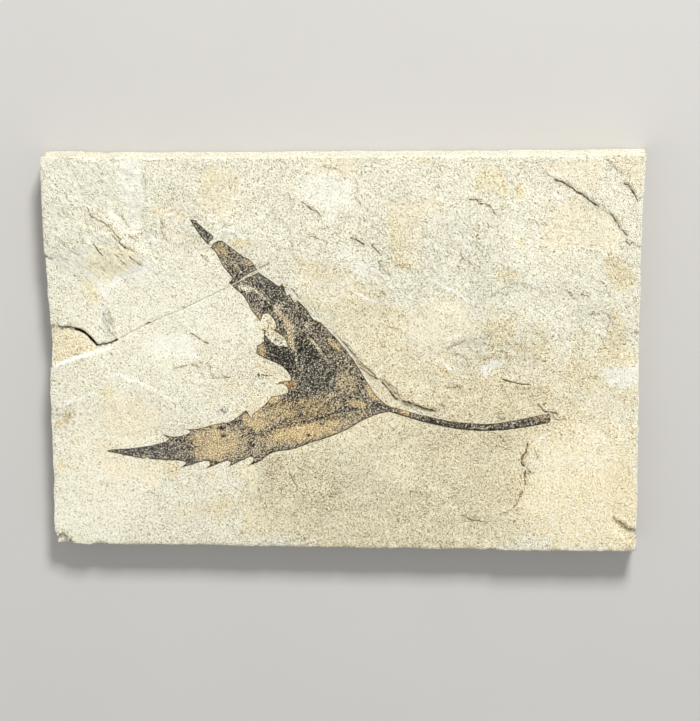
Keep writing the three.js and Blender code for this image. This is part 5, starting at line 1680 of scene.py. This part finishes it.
def makeSlab(margins, material):
    cadTree = treeOf(nodes["slab"].data)
    ring = slabOutline(bedding / 2)
    inward = inwardOf(ring)
    count, levels = len(ring), slabLook["sideLevels"]
    travel = np.arange(count) * slabLook["rimSpacing"]
    sawn = ring[:, 1] > 76.5
    top = heightOn(cadTree, *(ring + inward * 1.6).T, bedding)
    rings = sideRings(cadTree, ring, inward, top, sawn)
    arris = np.where(sawn, 0.35, 0.6 + 0.4 * gradientNoise(travel, travel * 0, 2.2, 421))
    rim = rings[-1][:, :2] + inward * (slabLook["arris"] * arris)[:, None]

    # the rim's chips, larger along the lower edge
    lowerEdge = smoothStep(-74, -77, ring[:, 1])
    chip = 0.35 + 0.3 * gradientNoise(travel, travel * 0, 5, 431)
    chip += lowerEdge * 1.5 * np.maximum(fractal(travel, travel * 0, 7, 3, 441), 0)
    chip = np.where(sawn, 0, np.maximum(chip, 0.1))

    points = np.vstack([rim, facePoints(cadTree, rim)])
    faces = fillRing(points, count)
    px, py = points.T
    z, marks = slabFace(px, py, cadTree, margins, *rimGaps(px, py, rim, chip))

    # the sides under the rim
    below = rings[:-1]
    below.append(np.column_stack([rings[-1][:, :2], np.minimum(rings[-1][:, 2], z[:count] - 0.12)]))
    start = len(points)
    for level in range(levels):
        lower = start + level * count
        upper = lower + count if level + 1 < levels else 0
        for i in range(count):
            j = (i + 1) % count
            faces.append([lower + i, lower + j, upper + j, upper + i])

    # the back, on the lowest of those rings
    backRing = below[0][:, :2]
    back = np.column_stack(lattice((-114, -78), (114, 78), slabLook["backSpacing"], 6))
    back = back[wellInside(*back.T, backRing, 1.2)]
    backStart = start + levels * count

    def backNumber(k):
        return start + k if k < count else backStart + k - count

    for face in fillRing(np.vstack([backRing, back]), count):
        faces.append([backNumber(k) for k in reversed(face)])
    hollow = slabLook["backRelief"] * np.clip(0.4 + fractal(*back.T, 30, 4, 451), 0, 1)
    full = np.vstack([np.column_stack([points, z]), *below, np.column_stack([back, hollow])])

    for key in marks:
        filler = np.full(len(full) - len(points), float(slabLook["brokenSide"].get(key, 0)))
        marks[key] = np.concatenate([marks[key], filler])
    marks["side"][backStart:] = 0
    marks["side"][:count] = 0.4
    # the sawn edge is clean and nearly white
    for level in range(levels):
        own = start + level * count + np.flatnonzero(sawn)
        for key, value in slabLook["sawnSide"].items():
            marks[key][own] = value
    for key, value in slabLook["sawnRim"].items():
        marks[key][np.flatnonzero(sawn)] = value
    for axis in (0, 1):
        full[:, axis] = np.clip(full[:, axis], cadBox[0][axis] / mm, cadBox[1][axis] / mm)
    return makePiece("fossil_plate", full, faces, marks, material, "limestone", "slab")


margins = leafMargins()
plate = makeSlab(margins, limestone())

# Leaf film

leafColours = {
    "warmCoal": [(28, 24, 19), (52, 46, 38), (106, 97, 83), (228, 218, 192)],
    "coldCoal": [(56, 54, 50), (80, 77, 71), (122, 119, 110), (206, 201, 184)],
    "brownCoal": [(50, 36, 18), (88, 70, 44), (136, 114, 78), (224, 202, 156)],
    "paleGround": (250, 243, 216),
    "tanGround": (232, 214, 174),
    "goldGround": (238, 210, 156),
    "rustGround": (184, 136, 84),
    "margin": (66, 47, 26),
}
leafLook = {
    "spacing": 0.46,
    "speckSize": 0.4,
    "lift": 0.1,
    "skirt": 0.3,
    "ribHeight": 0.2,
    "ribHalf": 0.45,
    "stalkHeight": 0.42,
    "stalkHalf": (0.5, 0.9, 0.3),  # at its thin end, gained over the first third, and at its foot
    "swirl": (1.6, 0.8),
    "grainSize": 0.38,
    "netSize": 0.8,
    "clusterSize": 2.1,
}

# share of the ground that the carbon hides
carbonAreas = [
    (-54, 48.5, 6, 3, -50, 0.93),
    (-44, 39, 9, 7, -45, 0.68),
    (-46.5, 42, 3.4, 2, -45, 0.5),
    (-41, 38, 5, 1.6, -40, 0.7),
    (-36.3, 37.6, 1.6, 1.2, -40, 0.5),
    (-39.7, 32.5, 5, 3, -30, 0.8),
    (-35, 22, 7, 5, -50, 0.75),
    (-37.5, 26.4, 2.6, 1.2, -15, 0.3),
    (-28, 27.5, 7, 3.5, -45, 0.92),
    (-23.8, 24.9, 2.6, 3.4, 0, 1),
    (-28.4, 19.8, 2.2, 2.6, 0, 0.98),
    (-25.4, 18.3, 1.8, 1.3, -45, 0.25),
    (-18, 20.5, 5, 3, -50, 0.72),
    (-33, 15.5, 3, 1.2, -60, 0.45),
    (-18, 12.5, 7, 6, -40, 0.72),
    (-14.5, 13.5, 5, 4, -45, 0.8),
    (-22.6, 14.6, 4.4, 1, -52, 0.28),
    (-20, 8, 1.3, 5, 0, 0.32),
    (-13, 11.8, 2, 1, -30, 0.4),
    (-8.5, 8.5, 5, 3.4, -45, 0.74),
    (-9, 4.8, 2.4, 1.6, -45, 0.8),
    (-4, -11, 3.4, 3, -40, 0.85),
    (-15.5, 5.8, 4, 3.6, -40, 0.86),
    (-24.5, -0.8, 6.8, 4.8, -30, 1.15),
    (-21.5, -2.5, 3.4, 3, -30, 1.3),
    (-32, 1.3, 1.8, 3.4, 0, 0.45),
    (-11, -6, 9, 9, -40, 0.92),
    (-14, 0.8, 4, 2.4, -30, 1.15),
    (-1.2, -3.5, 5, 3.4, -50, 0.74),
    (-3.2, 4.2, 3, 1, -50, 0.3),
    (1.2, -11.4, 5, 4, -40, 0.5),
    (6.4, -13.6, 2.6, 2.2, -50, 0.72),
    (11.6, -15.2, 4, 1.3, -52, 0.12),
    (5, -19.4, 4, 1.5, -10, 0.3),
    (-20.4, -12.4, 2, 1.8, 0, 0.35),
    (-24.1, -11.5, 2, 0.8, 0, 0.1),
    (-19, -16.5, 4, 2.6, -20, 0.86),
    (-27.2, -17.4, 3.2, 1.6, 35, 0.15),
    (-34.5, -26.5, 5.6, 4.6, 10, 0.22),
    (-25.5, -23, 6.5, 3.4, 10, 0.44),
    (-15.6, -21, 4.6, 3, 0, 0.64),
    (-15.8, -18.4, 1.6, 0.8, 30, 0.3),
    (-6.5, -19.6, 6.5, 4.4, -10, 0.62),
    (3.4, -25.2, 6, 2.6, 20, 0.58),
    (-15.6, -31, 15, 3.4, 12, 0.2),
    (-8.5, -27.8, 0.8, 0.8, 0, 0.9),
    (-14, -32.2, 0.7, 0.9, 30, 0.9),
    (-34, -36.5, 8, 3.4, 12, 0.5),
    (-38.5, -30.4, 3, 2.4, 0, 0.6),
    (-51, -36, 11, 6.5, 10, 0.24),
    (-42.6, -28.4, 3.6, 1.6, 15, 0.72),
    (-40.6, -26.8, 1, 0.8, 0, 0.95),
    (-48, -29.6, 1.6, 0.8, 0, 0.85),
    (-47.1, -32.5, 1.2, 1, 0, 0.8),
    (-55, -33.4, 1.3, 1.2, 0, 0.5),
    (-36.2, -31.5, 1.4, 1.4, 0, 0.8),
    (-36.4, -36.2, 1.8, 1.5, 0, 0.75),
    (-40.4, -40.4, 5, 2.4, 10, 0.62),
    (-36.1, -25.4, 1.8, 1.6, 0, 0.25),
    (-76, -39.2, 16.5, 4, 5, 0.92),
    (-62.5, -37.6, 3, 4.4, -10, 0.74),
    (-60.3, -42.4, 2, 1.8, 0, 0.92),
    (-78, -41.7, 1.5, 0.7, 5, 0.2),
    (-81, -41.2, 2.4, 0.5, 5, 0.6),
    (14.5, -20.2, 4, 1.6, -15, 0.96),
    (48, -27, 34, 3.4, 0, 0.9),
    (24, -22.8, 1.8, 1.4, 0, 0.55),
    (77, -25.4, 3, 1.6, 5, 0.7),
]

# warmth of the ground: 0 pale, 0.35 tan, 0.7 golden, 1 rust
warmthAreas = [
    (-44, 38, 10, 8, -45, 0.3),
    (-34, -26.5, 6, 4.6, 10, 0.6),
    (-46.3, 41.6, 3.4, 2, -45, 0.6),
    (-36.3, 37.6, 2, 1.4, -40, 0.7),
    (-30, 22, 14, 9, -45, 0.15),
    (-14, 12, 12, 9, -45, 0.3),
    (-37.5, 26.4, 2.6, 1.2, -15, 0),
    (-33.4, 14.8, 3, 1.4, -60, 0.85),
    (-22.6, 14.6, 4.4, 1.2, -52, 0.4),
    (-20, 8, 1.5, 5, 0, 0.3),
    (-31.5, 1.3, 2.4, 3.4, 0, 0.75),
    (-3.2, 4.2, 3.2, 1.1, -50, 0.75),
    (-1, -3.5, 5, 3.6, -50, 0.5),
    (1.2, -11.4, 5, 4, -40, 0.72),
    (11.6, -15.2, 4, 1.6, -52, 0.68),
    (5, -19.4, 4, 1.5, -10, 0.85),
    (-20.4, -12.2, 2.2, 1.8, 0, 1),
    (-24.1, -11.5, 2, 0.8, 0, 0.45),
    (-27.2, -17.4, 3.4, 1.8, 35, 0.65),
    (-16, -22, 13, 6, 0, 0.7),
    (-1, -14, 8, 8, 0, 0.45),
    (-15.6, -29.5, 15, 5, 12, 0.68),
    (3.4, -25.2, 6, 2.6, 20, 0.4),
    (-50, -36, 13, 8, 10, 0.5),
    (-36.1, -27, 3, 3, 0, 0.62),
    (24, -22.8, 2, 1.4, 0, 0.8),
    (77, -25.4, 3, 1.6, 5, 0.7),
]

# how blue the carbon is
blueAreas = [
    (-54, 48.5, 6, 3, -50, 0.8),
    (-39, 37.2, 2, 1.4, -30, 0.8),
    (-28, 27.5, 7, 3.5, -45, 0.75),
    (-23.8, 24.9, 2.6, 3.4, 0, 0.6),
    (-24.5, -0.8, 6.4, 4.6, -30, 0.3),
    (-11, -6, 9, 9, -40, 0.45),
    (-16, 6, 4.4, 3.4, -40, 0),
    (-60.3, -42.4, 2.4, 1.8, 0, 0.8),
    (-78, -40, 16, 4, 5, 0.95),
    (48, -27, 34, 3.4, 0, 0.4),
    (14.5, -20.2, 4, 1.6, -15, 0.7),
]
# the midribs, and the stalk
upperRib = [
    (-33, 25.2), (-27.1, 19.5), (-20.9, 13.8), (-13.5, 7.7), (-5.1, -3.7), (2.1, -13.3), (10.5, -20.2),
]
lowerRib = [
    (-82.2, -39.6), (-68.3, -38.3), (-54.5, -36.5), (-32, -30.5), (-15.9, -26.9), (0.5, -22.8), (12, -21),
]
endRib = [(-47.6, 43), (-43, 37.6), (-38.6, 32.4)]
stalkLine = [
    (11, -20.6), (20, -22.3), (31.5, -25.3), (43.5, -27.8), (55, -28.6), (68, -27.1), (79.2, -24.7),
]

# veins drawn on the film: height, half width, change of carbon, line
veins = [
    (0.16, 0.35, -0.6, [(-36, 27.4), (-33, 25.2), (-27.1, 19.5)]),
    (0.1, 0.3, -0.2, [(-20.9, 13.8), (-13.5, 7.7)]),
    (0.16, 0.4, -0.65, [(-13.9, 8.1), (-9.6, 2.6), (-5.1, -3.7)]),
    (0.1, 0.3, 0.2, [(-5.1, -3.7), (2.1, -13.3), (10.5, -20.2)]),
    (0.08, 0.35, -0.5, [(-20.1, 7.6), (-18.7, 1.3), (-17.7, -4.5)]),
    (0.14, 0.4, 0.35, [(-18, -27.5), (-11.4, -25.9), (-3, -22.8), (5.3, -21.1)]),
    (0.1, 0.35, 0.2, [(-66, -38.1), (-54.5, -36.5), (-32, -30.5), (-18, -27.5)]),
    (0.08, 0.3, 0.25, [(-5.6, -16.4), (2, -17.8), (8, -19.2)]),
    (0.06, 0.25, 0.3, [(-13.4, -13), (-16, -21), (-17.5, -26)]),
    (0.1, 0.35, -0.4, [(-43, 37.6), (-38.6, 32.4)]),
]

# where the film has flaked off
bareSpots = [
    (-16.6, -5.6, 0.7, 0.5, 0, 1),
    (-5.6, -16.2, 0.8, 0.5, 0, 1),
]


def filmMaterial():
    n = Nodes("leaf_carbon_film")
    carbon, warmth, blue, margin, bare = (n.mark(k) for k in ("carbon", "warmth", "blue", "margin", "bare"))
    where = n.bent(*leafLook["swirl"])
    parts = n.cells(leafLook["speckSize"], where)
    grain = n.noise(leafLook["grainSize"], 0)
    net = n.noise(leafLook["netSize"], 2, 0.6, 0.6, where)
    cluster = n.noise(leafLook["clusterSize"], 4, 0.66, 0.6)
    line = n.thinLine(net, 0.07, 0.015)
    grounds = [leafColours[key] for key in ("paleGround", "tanGround", "goldGround", "rustGround")]
    ground = n.ramp(warmth, (0.0, 0.35, 0.82, 1.0), grounds)
    shade = n.between(n.total((line, -0.3), (grain, 3.2), (1.0, -1.12)), 0.0, 0.7, 0.2, 1.25)
    shade = n.add("ShaderNodeCombineColor", {0: shade, 1: shade, 2: shade}).outputs[0]
    ground = n.mix(1.0, ground, shade, "MULTIPLY")
    # the carbon itself, from its darkest specks to its lightest
    soot = n.total(
        (parts.outputs[1], 2.0), (grain, 4.4), (line, -0.2), (carbon, -1.1), (blue, 0.3), (1.0, -2.24)
    )
    warmCoal, coldCoal, brownCoal = (
        n.ramp(soot, (0.0, 0.36, 0.68, 1.0), leafColours[key])
        for key in ("warmCoal", "coldCoal", "brownCoal")
    )
    browned = n.between(n.total((warmth, 1.0), (carbon, -0.8), (cluster, 0.8)), 0.2, 0.7)
    coal = n.mix(browned, warmCoal, brownCoal)
    coal = n.mix(blue, coal, coldCoal)
    # specks of it cover the ground where there is enough of it
    level = n.total((cluster, 0.6), (grain, 1.2), (line, 0.2), (carbon, 1.6), (1.0, -1.3))
    dark = n.between(n.maths("SUBTRACT", level, parts.outputs[0]), -0.08, 0.08)
    colour = n.mix(dark, ground, coal)
    edge = n.times(margin, n.between(cluster, 0.3, 0.5, 0.4, 1.0))
    colour = n.mix(edge, colour, tint(*leafColours["margin"]))
    colour = n.mix(bare, colour, ground)
    return n.finish(
        colour,
        n.between(dark, 0, 1, 0.92, 0.74),
        n.total((cluster, 0.16), (dark, 0.05), (grain, 0.12)),
        **{"Specular IOR Level": 0.15},
    )


def sharpTurns(ring):
    before = ring - np.roll(ring, 1, 0)
    after = np.roll(ring, -1, 0) - ring
    turn = np.arctan2(
        before[:, 0] * after[:, 1] - before[:, 1] * after[:, 0], (before * after).sum(1)
    )
    return np.abs(turn) > math.radians(38)


def finerRing(ring, step, seed):
    # the same outline in short steps, smooth between its sharp turns, with a slight waver
    sharp = np.flatnonzero(sharpTurns(ring))
    pieces = []
    for a, b in zip(sharp, np.roll(sharp, -1)):
        run = [k % len(ring) for k in range(a, b + 1 if b > a else b + len(ring) + 1)]
        line = smoothLine(ring[run], step)
        if len(line) > 4:
            fade = np.minimum(np.arange(len(line)), np.arange(len(line))[::-1]) / 8
            wave = rough(line, 0.13, 1.3, seed + a)
            torn = smoothStep(8, 5, np.hypot(line[:, 0] + 27, line[:, 1] - 10))
            wave += (rough(line, 0.42, 0.9, seed + 300 + a) - line) * torn[:, None]
            line = line + (wave - line) * np.clip(fade, 0, 1)[:, None]
        pieces.append(line[:-1])
    return np.vstack(pieces)


def closedUp(ring):
    # the crack across the leaf is a hair's breadth, so the margins on it move closer
    line = smoothLine(crackLine[-4:] + crackFar[1:4], 0.5)
    some, away, along = lineField(*ring.T, line, 1.3)
    across = acrossLine(line)[(along * (len(line) - 1)).round().astype(int)]
    gap = np.abs(away)
    move = np.sign(away) * np.maximum(gap - 0.3, 0) * smoothStep(1.3, 0.8, gap)
    ring = ring.copy()
    ring[some] -= across * move[:, None]
    return ring


def filmLift(x, y, away, seed):
    # how far the film stands over the stone with its ribs, stalk and veins, and its carbon
    lift = leafLook["lift"] * (0.45 + 0.55 * smoothStep(0, 0.6, away))
    lift += 0.03 * fractal(x, y, 2.4, 3, seed + 1)
    carbon = paint(x, y, 0.7, carbonAreas, 0.3, 2.2, 0.4, 501)
    for line, half in ((upperRib, leafLook["ribHalf"]), (lowerRib, leafLook["ribHalf"]), (endRib, 0.3)):
        some, off, along = lineField(x, y, smoothLine(line, 0.5), half)
        grow = 0.5 + 0.5 * along
        lift[some] += leafLook["ribHeight"] * grow * (1 - (off / half) ** 2)
    some, off, along = lineField(x, y, smoothLine(stalkLine, 0.5), 2.2)
    thin, gain, foot = leafLook["stalkHalf"]
    half = thin + gain * smoothStep(0, 0.35, along) + foot * smoothStep(0.8, 1, along)
    crown = np.sqrt(np.clip(1 - (off / half) ** 2, 0, 1))
    lift[some] += leafLook["stalkHeight"] * crown * smoothStep(0, 0.2, along)
    for height, half, change, line in veins:
        some, off, along = lineField(x, y, smoothLine(line, 0.5), half * 2)
        near = np.exp(-((off / half) ** 2)) * smoothStep(0, 0.1, along) * smoothStep(1, 0.9, along)
        lift[some] += height * near * 0.6
        carbon[some] += change * near
    return lift, carbon


def makeFilm(name, cadNode, material, slabTree, seed):
    ring = closedUp(finerRing(margins[cadNode], 0.42, seed))
    x, y = lattice(ring.min(0), ring.max(0), leafLook["spacing"], seed)
    inside, away = insideRing(x, y, ring)
    keep = inside & (away > 0.24)
    points = np.vstack([ring, np.column_stack([x[keep], y[keep]])])
    away = np.concatenate([np.zeros(len(ring)), away[keep]])
    faces = fillRing(points, len(ring))
    x, y = points.T

    ground = heightOn(slabTree, x, y, bedding)
    lift, carbon = filmLift(x, y, away, seed)
    marks = {
        "carbon": carbon,
        "warmth": paint(x, y, 0.35, warmthAreas, 0.3, 3, 0.4, 511),
        "blue": paint(x, y, 0.2, blueAreas, 0.3, 3, 0.4, 521),
        "margin": smoothStep(0.55, 0.1, away),
        "bare": paint(x, y, 0, bareSpots, 0.1, 1, 0.3, 531),
    }
    upper = np.column_stack([x, y, ground + np.maximum(lift, 0.03)])
    lower = np.column_stack([x, y, ground - leafLook["skirt"]])
    count, ringCount = len(x), len(ring)
    faces += [[count + k for k in reversed(face)] for face in faces]
    for i in range(ringCount):
        j = (i + 1) % ringCount
        faces.append([count + i, count + j, j, i])
    marks = {key: np.concatenate([values, values]) for key, values in marks.items()}
    return makePiece(name, np.vstack([upper, lower]), faces, marks, material, "leaf_film", cadNode)


slabTree = treeOf(plate.data)
film = filmMaterial()
makeFilm("leaf_blade_film", "leaf_blade", film, slabTree, 601)
makeFilm("leaf_lobe_end_film", "leaf_lobe_end", film, slabTree, 631)
makeFilm("leaf_lobe_tip_film", "leaf_lobe_tip", film, slabTree, 661)

# Floor

half = lightSetup["floorHalf"]
floorCorners = [(-half, -half, 0), (half, -half, 0), (half, half, 0), (-half, half, 0)]
floorMesh = bpy.data.meshes.new("floor")
floorMesh.from_pydata(floorCorners, [], [(0, 1, 2, 3)])
floor = bpy.data.objects.new("floor", floorMesh)
floor.location.z = -0.0002
bpy.context.collection.objects.link(floor)
paper = Nodes("floor_paper")
paperTone = paper.mix(paper.noise(60, 2), *((*tone, 1) for tone in lightSetup["floorTones"]))
paperTooth = paper.times(paper.noise(1.2, 2), 0.006)
floorMesh.materials.append(paper.finish(paperTone, 0.9, paperTooth))
